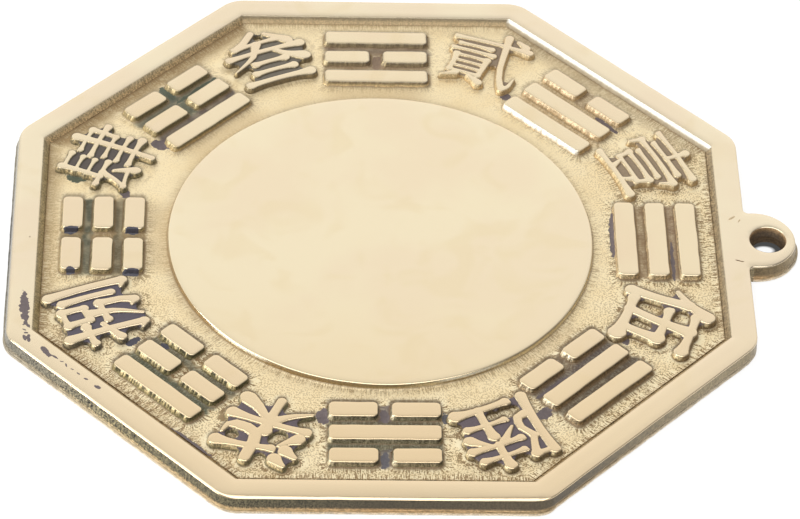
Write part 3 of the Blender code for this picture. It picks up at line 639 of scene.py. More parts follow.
class Shape:
    """A mesh that is put together from rings, lofts and caps.

    A flow is a pair of streak coordinates for each corner of a face."""

    def __init__(self):
        self.places, self.faces, self.flows = [], [], []
        self.count = 0

    def ring(self, flat, level):
        """New points at a level, or each at its own. Gives back their numbers."""
        points = np.column_stack((flat, np.broadcast_to(level, len(flat))))
        self.places.append(points)
        self.count += len(points)
        return np.arange(self.count - len(points), self.count)

    def loft(self, low, high, along, low_flow, high_flow, inward=False):
        """Walls between two rings that have as many points."""
        order = -1 if inward else 1
        for number in range(len(low)):
            after = (number + 1) % len(low)
            face = [low[number], low[after], high[after], high[number]]
            flow = [(along[number], low_flow), (along[number + 1], low_flow),
                    (along[number + 1], high_flow), (along[number], high_flow)]
            self.faces.append(face[::order])
            self.flows.append(flow[::order])

    def tower(self, stack, ring_of, inward=False):
        """Loft through a stack of rows, each a level and what its ring is made of.

        Gives back the lowest and the highest ring."""
        levels = [row[0] for row in stack]
        rings = [ring_of(*row[1:]) for row in stack]
        lengths = np.hypot(*(np.roll(rings[0], -1, axis=0) - rings[0]).T)
        along = np.concatenate(((0,), np.cumsum(lengths)))
        made = [self.ring(ring, level) for ring, level in zip(rings, levels)]
        for number in range(len(made) - 1):
            height = [float(np.mean(levels[number + step])) for step in (0, 1)]
            self.loft(made[number], made[number + 1], along, *height, inward)
        return made[0], made[-1]

    def cap(self, loops, up, extra=None, level=None):
        """Close the space between an outer loop and its holes, with extra points on it if they are given."""
        places = np.concatenate(self.places)
        known = np.concatenate(loops)
        flat = places[known][:, :2]
        edges = []
        for loop in loops:
            first = len(edges)
            edges += [(first + number, first + (number + 1) % len(loop)) for number in range(len(loop))]
        points = flat if extra is None else np.concatenate((flat, extra))
        verts, faces, origins = triangulated(points, edges)
        old = np.array([min(origin) if origin else len(points) for origin in origins])
        new = old >= len(known)
        index = np.empty(len(verts), int)
        index[~new] = known[old[~new]]
        if np.any(new):
            index[new] = self.ring(verts[new], level(verts[new]) if level else places[known[0], 2])
        centres = verts[faces].mean(axis=1)
        inside = np.zeros(len(centres), bool)
        # A triangle is kept where a line from its middle crosses the loops an odd number of times
        for (ax, ay), (bx, by) in flat[np.array(edges)]:
            spans = (ay > centres[:, 1]) != (by > centres[:, 1])
            if ay != by:
                inside ^= spans & (centres[:, 0] < (bx - ax) * (centres[:, 1] - ay) / (by - ay) + ax)
        kept = faces[inside] if up else faces[inside][:, ::-1]
        self.faces += index[kept].tolist()
        self.flows += verts[kept].tolist()

    def relief(self, points, triangles, flows, bottom):
        """A sheet of triangles, closed at its sides and underneath."""
        first = self.count
        self.places.append(points)
        self.count += len(points)
        self.faces += [[first + corner for corner in face] for face in triangles]
        self.flows += flows
        edges = set()
        for a, b, c in triangles:
            edges.update(((a, b), (b, c), (c, a)))
        # Edges of one triangle only are the sheet's border, followed here loop by loop
        follow = {}
        for a, b in edges:
            if (b, a) not in edges:
                follow.setdefault(a, []).append(b)
        while follow:
            start = here = next(iter(follow))
            loop = []
            while not loop or here != start:
                loop.append(here)
                after = follow[here].pop()
                if not follow[here]:
                    del follow[here]
                here = after
            low = self.ring(points[loop][:, :2], bottom)
            self.loft(low, np.array(loop) + first, np.arange(len(loop) + 1) * 0.2, 0, 1)
            self.cap([low], False)


def linked(name, data):
    """A new object in the scene."""
    made = bpy.data.objects.new(name, data)
    bpy.context.scene.collection.objects.link(made)
    return made


def build(name, shape, material, node):
    """Make a piece of a shape. It stands for the CAD node named."""
    mesh = bpy.data.meshes.new(name)
    places = np.concatenate(shape.places)
    mesh.from_pydata((places * MM).tolist(), [], [[int(corner) for corner in face] for face in shape.faces])
    flow = mesh.uv_layers.new(name="flow")
    flow.data.foreach_set("uv", np.array([pair for face in shape.flows for pair in face], np.float32).ravel())
    mesh.materials.append(material)
    mesh.shade_smooth()
    mesh.set_sharp_from_angle(angle=SHARP_FROM)
    piece = linked(name, mesh)
    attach(piece, "root")
    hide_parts(node)
    return piece, places


def store(piece, **kept):
    """Keep a number or a colour with its amount at each corner of a piece."""
    for name, values in kept.items():
        values = np.asarray(values, np.float32)
        kind, field = ("FLOAT", "value") if values.ndim == 1 else ("FLOAT_COLOR", "color")
        piece.data.attributes.new(name, kind, "POINT").data.foreach_set(field, values.ravel())


def hexagonal(high, pitch, seed, low=None):
    """Slightly scattered points that fill a box, which is centred unless its low corner is given."""
    low = (-high[0], -high[1]) if low is None else low
    rise = pitch * 0.866
    rows = int((high[1] - low[1]) / rise) + 2
    columns = int((high[0] - low[0]) / pitch) + 2
    x, y = np.meshgrid(np.arange(columns, dtype=float), np.arange(rows, dtype=float))
    x += 0.5 * (y % 2)
    spread = 0.18
    places = np.stack((low[0] + pitch * (x + spread * noise(x * 7.3, y * 5.1, seed)),
                       low[1] + rise * (y + spread * noise(x * 6.1, y * 7.7, seed + 1))), -1)
    return places.reshape(-1, 2)


def ring_points(start, end, pitch):
    """Evenly spaced points from start towards end, without end itself."""
    count = max(1, int(round(math.dist(start, end) / pitch)))
    steps = np.arange(count)[:, None] / count
    return np.array(start) * (1 - steps) + np.array(end) * steps


def octagon_ring(reach, pitch):
    """Points along an octagon of a given apothem, always as many for a given pitch."""
    corner = RIM_INNER / math.cos(SECTOR / 2)
    turns = [(side - 0.5) * SECTOR for side in range(SIDES + 1)]
    corners = [(corner * math.cos(turn), corner * math.sin(turn)) for turn in turns]
    ring = [ring_points(start, end, pitch) for start, end in zip(corners, corners[1:])]
    return np.concatenate(ring) * reach / RIM_INNER


def outline():
    """Points of the plaque's outline at the rim's top, and the outward direction at each."""
    fillet_x = EDGE_APOTHEM + EAR_FILLET
    fillet_y = math.sqrt((EAR_RADIUS + EAR_FILLET) ** 2 - (fillet_x - EAR_CENTRE) ** 2)
    meeting = math.atan2(fillet_y, fillet_x - EAR_CENTRE)
    # Each arc's middle, radius, turn at its start and end, and number of steps
    arcs = [((fillet_x, -fillet_y), -EAR_FILLET, math.pi, math.pi - meeting, 6),
            ((EAR_CENTRE, 0), EAR_RADIUS, -meeting, meeting, 56),
            ((fillet_x, fillet_y), -EAR_FILLET, math.pi + meeting, math.pi, 6)]
    distance = (EDGE_APOTHEM - CORNER_RADIUS) / math.cos(SECTOR / 2)
    for corner in range(SIDES):
        turn = (corner + 0.5) * SECTOR
        centre = (distance * math.cos(turn), distance * math.sin(turn))
        arcs.append((centre, CORNER_RADIUS, corner * SECTOR, (corner + 1) * SECTOR, 12))
    places, ways = [], []
    for number, (centre, radius, start, end, count) in enumerate(arcs):
        first = 1 if number in (1, 2) else 0  # the ear's arcs share their ends
        way = unit(np.linspace(start, end, count + 1)[first:])
        places.append(np.array(centre) + way * abs(radius))
        ways.append(way if radius > 0 else -way)
    places, ways = np.concatenate(places), np.concatenate(ways)
    dense = []  # the same with points on the long straight sides
    for number in range(len(places)):
        after = (number + 1) % len(places)
        count = max(1, int(math.dist(places[number], places[after]) / OUTLINE_PITCH))
        dense += [[mixed(ends[number], ends[after], step) for ends in (places, ways)]
                  for step in np.arange(count) / count]
    return np.array(dense).transpose(1, 0, 2)


def flare(ways, places):
    """Share of the edge's spread that each side of the casting has."""
    lean = -0.80 * ways[:, 0] - 0.60 * ways[:, 1]
    share = 0.12 + 0.88 * step_up(lean, -0.35, 0.25)
    return np.where(places[:, 0] > EAR_CENTRE, 1.0, share)


def hole_ring(widening):
    return np.array((HOLE_CENTRE, 0)) + (HOLE_RADIUS + widening) * unit(all_round(HOLE_POINTS))


def along_walls(points, walls):
    """Place of each point along the foot of a wall of its own."""
    along = np.zeros(len(points))
    for wall in np.unique(walls):
        along[walls == wall] = wall_along(points[walls == wall], wall)
    return along


def wall_flows(points, triangles, table):
    """Streak coordinates of each corner: along the nearest wall, and away from it."""
    corners = triangles.ravel()
    walls = np.repeat(np.argmin(table[:, triangles].mean(axis=2), axis=0), 3)
    along = along_walls(points[corners], walls).reshape(-1, 3)
    wrapped = along.max(axis=1) - along.min(axis=1) > 3
    along[wrapped] = along[wrapped].mean(axis=1)[:, None]
    return np.stack((along, table[walls, corners].reshape(-1, 3)), -1).tolist()


def ground_level(points, table):
    """Height of the sunken ground: soft fillets, radial furrows near the walls and a fine grain."""
    along = along_walls(points, np.argmin(table, axis=0))
    away = np.maximum(table.min(axis=0), 0)
    furrow = noise(along / 0.42, away / 1.6, 11) + 0.6 * noise(along / 0.85, away / 2.4, 12)
    level = FIELD + 0.30 * np.exp(-away / 0.28) + 0.035 * furrow * np.exp(-away / 1.1)
    for height, size, seed in ((0.03, 3.1, 13), (0.018, 0.9, 14), (0.014, 0.42, 15)):
        level += height * noise(*points.T / size, seed)
    return level


def ground_stain_and_shade(points, table):
    """Brown and green patina of the slots and of the rim's and the disc's foot, with painted shade at the foot of the
    bars and numerals and behind the disc.
    """
    stain = Stain(len(points))
    # The rim's foot, with a paler and wider fringe
    for side, (*tone, near, far) in enumerate(FEET):
        u, v = local(points, side * SECTOR)
        away = RIM_FOOT - v + 0.25 * noise(u / 1.4, v * 0, 91 + side)
        on_side = step_up(v * math.tan(SECTOR / 2) + 0.8 - np.abs(u), 0, 1.6)
        stain.lay(np.add(tone, (18, 18, 14)), far * on_side * step_up(away, 4.4, 1.0))
        stain.lay(tone, near * on_side * step_up(away, 1.1, 0.1))
    # The disc's foot, whose patina reaches farther behind the disc as painted shade
    turn = bearing(points)
    behind = FAR_SHADE * np.maximum(np.sin(np.radians(turn)), 0)
    away = away_from(points, 0, DISC_MIDDLE + behind) - DISC_RADIUS
    stain.lay(DISC_FOOT_TONE, by_row(turn, DISC_FEET) * np.exp(-np.maximum(away, 0) / 0.8))
    for side in FADED_SIDES:
        u, v = local(points, side * SECTOR)
        stain.lay(FADED_TONE, 0.55 * step_up(np.abs(u), 11, 6) * step_up(v, 42.5, 41) * (v > 30))
    # Painted shade at the foot of the bars and numerals, which reaches farther behind them than in front and is
    # stronger towards the lower side
    close = np.flatnonzero(table[SIDES + 1:].min(axis=0) < 2.2)
    away = np.full(len(points), 9.0)
    away[close] = np.min([wall_table(points[close] + (0, shift))[SIDES + 1:].min(axis=0)
                          for shift in (0.35, -FAR_SHADE)], axis=0)
    amount = 0.44 + 0.48 * step_up(points[:, 1], 30, -5)
    stain.lay(CONTACT_SHADE, amount * np.exp(-np.maximum(away, 0) / 0.27))
    # The slots between the rows, and the breaks in them
    for index, tones in enumerate(SLOTS):
        u, v = local(points, index * SECTOR)
        ragged = 0.5 * noise(u / 0.9, v / 0.9, 101 + index)
        patchy = 1 + 0.22 * noise(u / 1.6, v / 0.8, 111 + index)
        inside = step_up(np.abs(u) + ragged, 10.2, 8.9)
        for tone, low, high in zip(tones, ROW_RADII, ROW_RADII[1:]):
            stain.lay(tone, tone[3] * patchy * inside * step_up(np.abs(v - (low + high) / 2), 1.5, 0.75))
        for tone, radius in zip(tones[2:], ROW_RADII):
            if tone:
                between = step_up(np.abs(u), 1.5, 0.85) * step_up(np.abs(v - radius) + ragged, 2.4, 1.5)
                stain.lay(tone, tone[3] * patchy * between)
    return stain.colours()


def with_grit(tones, grit):
    """Tones with how strongly the casting's grain shows, as a fourth number."""
    return np.column_stack((tones, np.broadcast_to(grit, len(tones))))


def edge_tones(points):
    """Patina of the outer edge and of the hole's wall, with its grit. Low on the front the edge takes a painted
    reflection of the white floor, and the hole's wall has painted shade deep down and painted light higher up.
    """
    level = points[:, 2:]
    ear = points[:, 0] > EDGE_APOTHEM + 0.8
    turn = np.where(ear, bearing(points, EAR_CENTRE), bearing(points))
    upper, lip = tones_by_row(turn, EDGE_TONES, 1), tones_by_row(turn, EDGE_TONES, 3)
    # Painted reflection of the white floor on the lowest part of the edge towards the front
    foot = 0.95 * step_up(level, 0.85, 0.35) * step_up(np.abs(turn - 270), 75, 55)[:, None]
    upper = np.where(ear[:, None], mixed(upper, rgb(EAR_WALL_TONE), 0.55), upper)
    tones = mixed(upper, mixed(lip, rgb(EDGE_FLOOR_REFLECTION), foot), step_up(level, 1.35, 1.15))
    hole = away_from(points, HOLE_CENTRE) < HOLE_RADIUS + 0.5
    # Painted shade deep in the hole and painted light on its upper wall
    tones[hole] = rgb(HOLE_TONE) * (0.45 + 1.4 * step_up(level[hole], 2.1, 2.7))
    return with_grit(tones, np.where(hole, 0.5, by_row(turn, EDGE_TONES, 2)))


def inner_tones(points):
    """Patina of the rim's inner wall with its grit, with a painted highlight under the top on one side and painted
    shade on another.
    """
    side = np.argmax(reaches(points), axis=0)
    high, low = [np.array([rgb(row[column]) for row in INNER_TONES])[side] for column in (0, 1)]
    # The painted highlight on the side at 45 degrees reaches farther down
    line = np.where(side == 1, 2.66, 2.82)
    tones = mixed(low, high, step_up(points[:, 2], line - 0.14, line + 0.1)[:, None])
    return with_grit(tones, np.array([row[2] for row in INNER_TONES])[side])


def make_back_plate(material):
    """The back with its cast edge, and the sunken ground as a sheet of its own on it."""
    shape = Shape()
    places, ways = outline()
    share = flare(ways, places)[:, None]
    rough = 0.1 * np.abs(noise(*places.T / 2.3, 5))[:, None]
    low, high = shape.tower(PLATE_EDGE, lambda inset: places + ways * (LIP_SPREAD * share + inset - rough))
    hole_low, hole_high = shape.tower(PLATE_HOLE, hole_ring, inward=True)
    shape.cap([low, hole_low], False)
    shape.cap([high, hole_high], True)
    edge_count = shape.count

    # Finer points along the walls and under thick patina, coarser ones elsewhere
    parts = [octagon_ring(GROUND_REACH, 0.6)]
    for pitch, seed, is_fine in ((WALL_PITCH, 21, True), (GROUND_PITCH, 22, False)):
        part = hexagonal((58.2, 58.2), pitch, seed)
        part = part[(apothem(part) < GROUND_POINTS) & (away_from(part) > DISC_RADIUS - 0.6)]
        away = wall_table(part).min(axis=0)
        close = (away < WALL_STRIP) | (crust(part, "ground")[:, 3] > 0)
        parts.append(part[(away > -0.45) & (close == is_fine)])
    under_disc = hexagonal((37, 37), 2.5, 23)
    parts.append(under_disc[away_from(under_disc) < DISC_RADIUS - 2])

    flat, triangles, _ = triangulated(np.concatenate(parts))
    table = wall_table(flat)
    level = np.where(table.min(axis=0) < -0.2, UNDER_PIECES, ground_level(flat, table))
    flows = wall_flows(flat, triangles, table)
    shape.relief(np.column_stack((flat, level)), triangles.tolist(), flows, LIP_TOP - 0.1)
    piece, places = build("back_plate_ground", shape, material, "back_plate")
    lip = np.arange(len(places)) < edge_count
    # The stain holds patina, with painted shade on the ground and a painted reflection of the floor low on the edge's
    # front
    stain, thick = np.zeros((2, len(places), 4))
    stain[lip] = edge_tones(places[lip])
    stain[edge_count:edge_count + len(flat)] = ground_stain_and_shade(flat, table)
    thick[~lip] = crust(places[~lip], "ground")
    grit = 0.28 + 0.66 * step_up(places[:, 1] - 0.35 * places[:, 0], 30, -18)
    grit *= 1 - 0.45 * step_up(away_from(places), 40.5, 38.5)
    store(piece, stain=stain, crust=thick, lip=lip, grit=np.where(lip, 0.6, grit))


def roundness(places, ways, ear_from=EAR_FROM):
    """How strongly the edge is rounded, from 0 to 1, at places that face given ways."""
    return np.where(places[:, 0] > ear_from, EAR_SOFTNESS, by_row(bearing(ways), SOFTNESS))


def rolled(distance, reach):
    """Share of a roll-off, from 1 at an edge to 0 at its reach."""
    return np.clip(1 - distance / reach, 0, 1) ** 2


def rim_level(points):
    """Height of the rim's buffed top, which rolls off towards its edges."""
    ear = EAR_RADIUS - away_from(points, EAR_CENTRE)
    outer = np.maximum(rounded_octagon(points, EDGE_APOTHEM, CORNER_RADIUS), ear)
    share = roundness(points, points, EAR_TOP_FROM)
    level = RIM_TOP - (0.06 + 0.14 * share) * rolled(outer, 1.0 + 2.0 * share)
    level -= 0.1 * rolled(apothem(points) - RIM_INNER, 1.3)
    level -= 0.06 * rolled(away_from(points, HOLE_CENTRE) - HOLE_RADIUS, 0.6)
    return level + 0.006 * (noise(*points.T / 3.7, 36) - 1)


def make_rim(material):
    """The rim with its ear: the outer edge, the inner wall, the hole and the buffed top."""
    shape = Shape()
    places, ways = outline()
    # The flare is for the part of the edge that stands out of the outline
    share, soft = flare(ways, places), roundness(places, ways)
    wave = 0.05 * np.abs(noise(*places.T / 4.1, 31))
    rough = 0.05 * np.abs(noise(*places.T / 0.5, 32))
    stack = []
    for (level, spread, grain), (crisp_level, crisp_spread) in zip(SOFT_EDGE, CRISP_EDGE):
        reach = mixed(crisp_spread, spread, soft)
        reach = np.where(reach > 0, reach * share, reach) - wave - rough * grain
        stack.append((mixed(crisp_level, level, soft), places + ways * reach[:, None]))
    low, high = shape.tower(stack, lambda ring: ring)
    wall = octagon_ring(GROUND_REACH, RIM_PITCH)
    turns = np.arctan2(wall[:, 1], wall[:, 0])
    streaks = unit(turns) * noise(turns * GROUND_REACH / RIM_PITCH, turns * 0, 33)[:, None] * 0.06
    inner_low, inner_high = shape.tower(
        INNER_WALL, lambda reach, grain: octagon_ring(reach, RIM_PITCH) + streaks * grain, inward=True)
    hole_low, hole_high = shape.tower(RIM_HOLE, hole_ring, inward=True)
    shape.cap([low, inner_low, hole_low], False)

    # Points of the top, denser under its thick patina
    extra = hexagonal((72, 64), RIM_TOP_PITCH, 35, low=(-64, -64))
    for degrees, u0, v0, half_u, half_v, *_ in CRUSTS["top"]:
        size = max(half_u, half_v) * 1.7 + 0.2
        centre = world(u0, v0, math.radians(degrees))
        dense = hexagonal(centre + size, CRUST_PITCH, 37, low=centre - size)
        extra = np.concatenate((extra[away_from(extra, *centre) > size], dense[away_from(dense, *centre) < size]))
    on_ear = away_from(extra, EAR_CENTRE) < EAR_RADIUS - 0.7
    off_hole = away_from(extra, HOLE_CENTRE) > HOLE_RADIUS + 0.42
    on_rim = rounded_octagon(extra, EDGE_APOTHEM, CORNER_RADIUS) > 0.7
    extra = extra[(apothem(extra) > 59.45) & (on_rim | on_ear) & off_hole]
    shape.cap([high, inner_high, hole_high], True, extra, rim_level)
    piece, places = build("rim_frame_cast", shape, material, "rim_frame")
    level, turn = places[:, 2], bearing(places)
    outer = (apothem(places) > RIM_MIDDLE) | (places[:, 0] > EAR_ROOT)
    worn = within(turn, 152, 162, 198, 208)
    edge = 3.0 - 0.14 * roundness(places, places) + 0.04 * within(turn, 245, 265, 285, 300) - 0.1 * worn
    polish = np.where(outer, step_up(level, edge, edge + 0.1 + 0.34 * worn), step_up(level, 3.12, 3.2))
    in_hole = away_from(places, HOLE_CENTRE) < HOLE_RADIUS + 0.05
    store(piece, tint=np.where(outer[:, None], edge_tones(places), inner_tones(places)),
          polish=np.where(in_hole, step_up(level, 3.1, 3.2), polish), crust=crust(places, "top"))


def painted_wall_shading(levels, dark, low, top, foot):
    """Wall tones that turn from one under the edge to another lower down: mostly painted shade under the edge and a
    lighter painted reflection of the ground below.
    """
    return mixed(rgb(low), rgb(dark), step_up(levels, foot, top)[:, None])


def make_disc(material):
    shape = Shape()
    turns = all_round(DISC_POINTS)
    wobble = 0.03 * noise(turns * 9, turns * 0, 41)[:, None]
    low, high = shape.tower(
        DISC_EDGE, lambda offset: unit(turns) * (DISC_RADIUS + offset + wobble) + (0, DISC_MIDDLE))
    shape.cap([low], False)
    shape.cap([high], True)
    piece, places = build("mirror_disc_polished", shape, material, "mirror_disc")
    level, turn = places[:, 2], bearing(places)
    # The wall's tones are painted light: shade at the back and darker shade in front, a tone where it faces the side
    # light, and highlights on two stretches of the edge
    shade, front, lit, glow = [painted_wall_shading(level, *row) for row in (DISC_SHADE, DISC_FRONT, DISC_LIT, DISC_HIGHLIGHT)]
    side_light = step_up(facing(places / np.maximum(away_from(places), 1)[:, None]), 0.6, 0.9)
    highlight_share = within(turn, 216, 223, 234, 240) + within(turn, 282, 288, 298, 306)
    tones = mixed(shade, front, within(turn, 236, 244, 272, 284)[:, None])
    tones = mixed(mixed(tones, lit, side_light[:, None]), glow, highlight_share[:, None])
    store(piece, tint=with_grit(tones, 0.25), polish=step_up(level, 3.0, 3.06), crust=np.zeros((len(places), 4)))


def bar_outline(half, seed):
    """Points around a bar's top edge, the outward direction at each, and the corners' radius.

    Each bar is cut a little differently."""
    shift = 0.09 * noise(np.arange(1.5, 7) * 3.7, np.full(6, seed * 1.37), 57)
    round_corner = 0.85 + shift[5]
    a = half - 0.2 + shift[0] - round_corner
    b = BAR_WIDTH / 2 - 0.13 + shift[1] * 0.6 - round_corner
    middles = [np.array(middle) for middle in ((a, b), (-a, b), (-a, -b), (a, -b))]
    places, ways = [], []
    for quarter, middle in enumerate(middles):
        way = unit(quarter * math.pi / 2 + np.linspace(0, math.pi / 2, 9))
        corner = middle + way * round_corner
        straight = ring_points(corner[-1], middles[(quarter + 1) % 4] + way[-1] * round_corner, 0.2)[1:]
        places += [corner, straight]
        ways += [way, np.broadcast_to(way[-1], straight.shape)]
    places, ways = np.concatenate(places), np.concatenate(ways)
    slant = np.stack((shift[2] * places[:, 1] * 0.4, shift[3] * places[:, 0] / half), -1)
    wave = 0.05 * noise(places[:, 0] / 2.2 + seed * 3.3, places[:, 1] / 2.2 + seed * 1.7, seed)
    return places + slant + (-0.05 + shift[4], 0) + ways * wave[:, None], ways, round_corner


def make_bar(number, bar, material):
    name, index, aside, radius, half = bar
    shape = Shape()
    flat, ways, round_corner = bar_outline(half, number)
    turn = index * SECTOR
    lit = step_up(facing(world(*ways.T, turn)), 0.55, 0.95)[:, None]
    count = np.arange(len(flat))
    grain = noise(count / 1.35, count * 0 + number, 51)[:, None]

    def placed(points):
        return world(points[:, 0] + aside, points[:, 1] + radius, turn)

    stack = (*BAR_EDGE, (BAR_TOP, 0.1 - round_corner, 0, 0))
    low, high = shape.tower(stack, lambda offset, spread, amount: placed(
        flat + ways * (offset + lit * spread + grain * amount * (0.03 + 0.06 * lit))))
    shape.cap([low], False)
    inside = hexagonal((half, BAR_WIDTH / 2), 0.16 if index == CRUSTED_TRIGRAM else 0.6, 52)
    shape.cap([high], True, placed(inside[bar_distance(*inside.T, half) < -1.5]))
    piece, places = build(name + "_cast", shape, material, name)
    dark, pale, highlight_tone, highlight_beads, polish = BAR_TONES[index]
    if name == WHITE_BAR:
        highlight_tone, highlight_beads = WHITE_BAR_LIT
    # Painted shade under the top edge and a painted reflection of the ground at the foot, with a painted highlight,
    # broken into beads, where the wall faces the side light
    tones = painted_wall_shading(places[:, 2], dark, PALE_FEET.get(name, pale), 2.85, 2.45)
    walls = len(flat) * len(stack)
    share = np.tile(lit * (1 - highlight_beads * step_up(-grain, -0.15, 0.25)), (len(stack), 1))
    tones[:walls] = mixed(tones[:walls], rgb(highlight_tone), share * step_up(places[:walls, 2:], 2.3, 2.6))
    store(piece, tint=with_grit(tones, BAR_GRIT[index]), crust=crust(places, "top"),
          polish=step_up(places[:, 2], polish - 0.03, polish + 0.05))


def slope_of(distance, points):
    """How a distance grows sideways and outwards."""
    step = 0.02
    return np.stack([(distance(points + shift) - distance(points - shift)) / (2 * step)
                     for shift in (np.array((step, 0)), np.array((0, step)))], -1)


def on_level(distance, points, level, pitch):
    """Points of a fine scatter moved onto a line of equal distance, thinned out."""
    for _ in range(3):
        away = distance(points) - level
        close = np.abs(away) < pitch * 1.5
        points, away = points[close], away[close]
        slope = slope_of(distance, points)
        points = points - slope * (away / np.maximum(np.sum(slope ** 2, axis=1), 0.2))[:, None]
    points = points[np.abs(distance(points) - level) < 0.01]
    _, first = np.unique(np.floor(points / pitch).astype(int), axis=0, return_index=True)
    return points[np.sort(first)]


def gridded(half, pitch, distance):
    """A distance read off a square grid of its values, which is much faster than working it out."""
    side = np.arange(-half, half + pitch, pitch)
    grid = distance(np.stack(np.meshgrid(side, side), -1).reshape(-1, 2)).reshape(len(side), len(side))

    def read(points):
        across = np.clip((points + half) / pitch, 0, len(side) - 1.001)
        first = across.astype(int)
        x, y = (across - first).T
        column, row = first.T
        return (grid[row, column] * (1 - x) * (1 - y) + grid[row, column + 1] * x * (1 - y)
                + grid[row + 1, column] * (1 - x) * y + grid[row + 1, column + 1] * x * y)
    return read


def closed_gaps(strokes, half, reach):
    """Distance from the patches that close every gap narrower than twice the reach."""
    contour = on_level(strokes, hexagonal((half, half), STROKE_PITCH, 90), reach, 0.1)
    tree = kdtree.KDTree(len(contour))
    for number, point in enumerate(contour):
        tree.insert((*point, 0), number)
    tree.balance()

    def distance(spots):
        away = np.array([tree.find((*spot, 0))[2] for spot in spots])
        return reach - np.where(strokes(spots) < reach, away, -away)
    return gridded(half, 0.12, distance)


def numeral_sheet(strokes, gaps, number):
    """Points and triangles of a numeral, dense along its edges."""
    size = (NUMERAL_HALF + 0.8,) * 2
    fine, filler = hexagonal(size, STROKE_PITCH, 60 + number), hexagonal(size, 0.34, 70 + number)
    layers = [on_level(strokes, fine, level, 0.1) for level in CONTOURS]
    edges = [on_level(gaps, fine, level, 0.14) for level in PATCH_CONTOURS]
    layers += [edge[strokes(edge) > 0.36] for edge in edges]
    near = strokes(filler)
    clear = np.min([np.abs(near - level) for level in CONTOURS], axis=0) > 0.12
    flat, triangles, _ = triangulated(np.concatenate(layers + [filler[clear & (gaps(filler) < 0.5)]]))
    middles = flat[triangles].mean(axis=1)
    return flat, triangles[np.minimum(gaps(middles), strokes(middles)) < 0.29]


def make_numeral(number, turn, rows, material):
    shape = Shape()
    half = NUMERAL_HALF + 2.5
    strokes = gridded(half, 0.05, lambda points: stroke_distance(*points.T, rows))
    gaps = closed_gaps(strokes, half, CLOSED[number])
    flat, triangles = numeral_sheet(strokes, gaps, number)
    near, gap, slope = strokes(flat), gaps(flat), slope_of(strokes, flat)
    slope /= np.maximum(away_from(slope), 0.1)[:, None]
    lit = step_up(facing(world(*slope.T, turn)), 0.5, 0.92)
    raised = by_row(np.where(near > 0, near / (1 + 0.7 * lit), near), RELIEF)
    patch = by_row(gap, PATCH_RELIEF)
    level = np.maximum(raised, patch)
    placed = world(flat[:, 0], flat[:, 1] + NUMERAL_RADIUS, turn)
    shape.relief(np.column_stack((placed, level)), triangles.tolist(), flat[triangles].tolist(), UNDER_NUMERALS)
    piece, places = build(f"numeral_{number}_cast", shape, material, f"numeral_{number}")
    shade, highlight_tone, patina = [rgb(tone) for tone in NUMERAL_TONES[number]]
    # Painted highlight, broken into beads, on walls that face the side light
    highlight_beads = noise(*flat.T / 0.4, 66)
    share = lit * (1 - 0.6 * step_up(highlight_beads, 0.2, -0.2)) * step_up(level, 2.35, 2.65)
    filled = step_up(patch - raised, -0.12, 0.02) * step_up(gap, 0.1, 0.0)
    patina = patina * (0.72 + 0.28 * step_up(near, 0.08, 0.3))[:, None]
    tones = mixed(mixed(shade, highlight_tone, share[:, None]), patina, filled[:, None])
    tint = np.tile((*shade, 0.3), (len(places), 1))
    tint[:len(flat)] = with_grit(tones, np.where(filled > 0.5, 0.12, NUMERAL_GRIT[number]))
    edge = NUMERAL_EDGE[number]
    polish = np.zeros(len(places))
    polish[:len(flat)] = step_up(near, edge + 0.03, edge - 0.06)
    store(piece, tint=tint, polish=polish, crust=np.zeros((len(places), 4)))


class Graph:
    """The nodes of a material or of the studio, which are added by short calls."""

    def __init__(self, owner):
        owner.use_nodes = True
        self.owner = owner
        self.nodes, self.links = owner.node_tree.nodes, owner.node_tree.links

    def plug(self, socket, value):
        if isinstance(value, bpy.types.NodeSocket):
            self.links.new(value, socket)
        else:
            socket.default_value = value

    def node(self, kind, values=(), **settings):
        """A new node. Its values are in the order of its sockets, or by socket."""
        node = self.nodes.new("ShaderNode" + kind)
        for name, value in settings.items():
            setattr(node, name, value)
        for key, value in values.items() if isinstance(values, dict) else enumerate(values):
            self.plug(node.inputs[key], value)
        return node

    def math(self, operation, *values, clamp=False):
        return self.node("Math", values, operation=operation, use_clamp=clamp).outputs[0]

    def plus(self, first, second):
        return self.math("ADD", first, second)

    def minus(self, first, second):
        return self.math("SUBTRACT", first, second)

    def times(self, first, second, clamp=False):
        return self.math("MULTIPLY", first, second, clamp=clamp)

    def scaled(self, vector, scale):
        return self.node("VectorMath", (vector, scale), operation="MULTIPLY").outputs[0]

    def dimmed(self, colour, factor):
        return self.node("VectorMath", {0: colour, "Scale": factor}, operation="SCALE").outputs[0]

    def distance(self, vector, point):
        return self.node("VectorMath", (vector, point), operation="DISTANCE").outputs["Value"]

    def split(self, vector):
        return self.node("SeparateXYZ", (vector,)).outputs

    def fade(self, value, low, high, bottom=0.0, top=1.0, way="SMOOTHSTEP"):
        return self.node("MapRange", (value, low, high, bottom, top), interpolation_type=way).outputs[0]

    def mix(self, share, first, second):
        return self.node("Mix", {0: share, 6: first, 7: second}, data_type="RGBA").outputs[2]


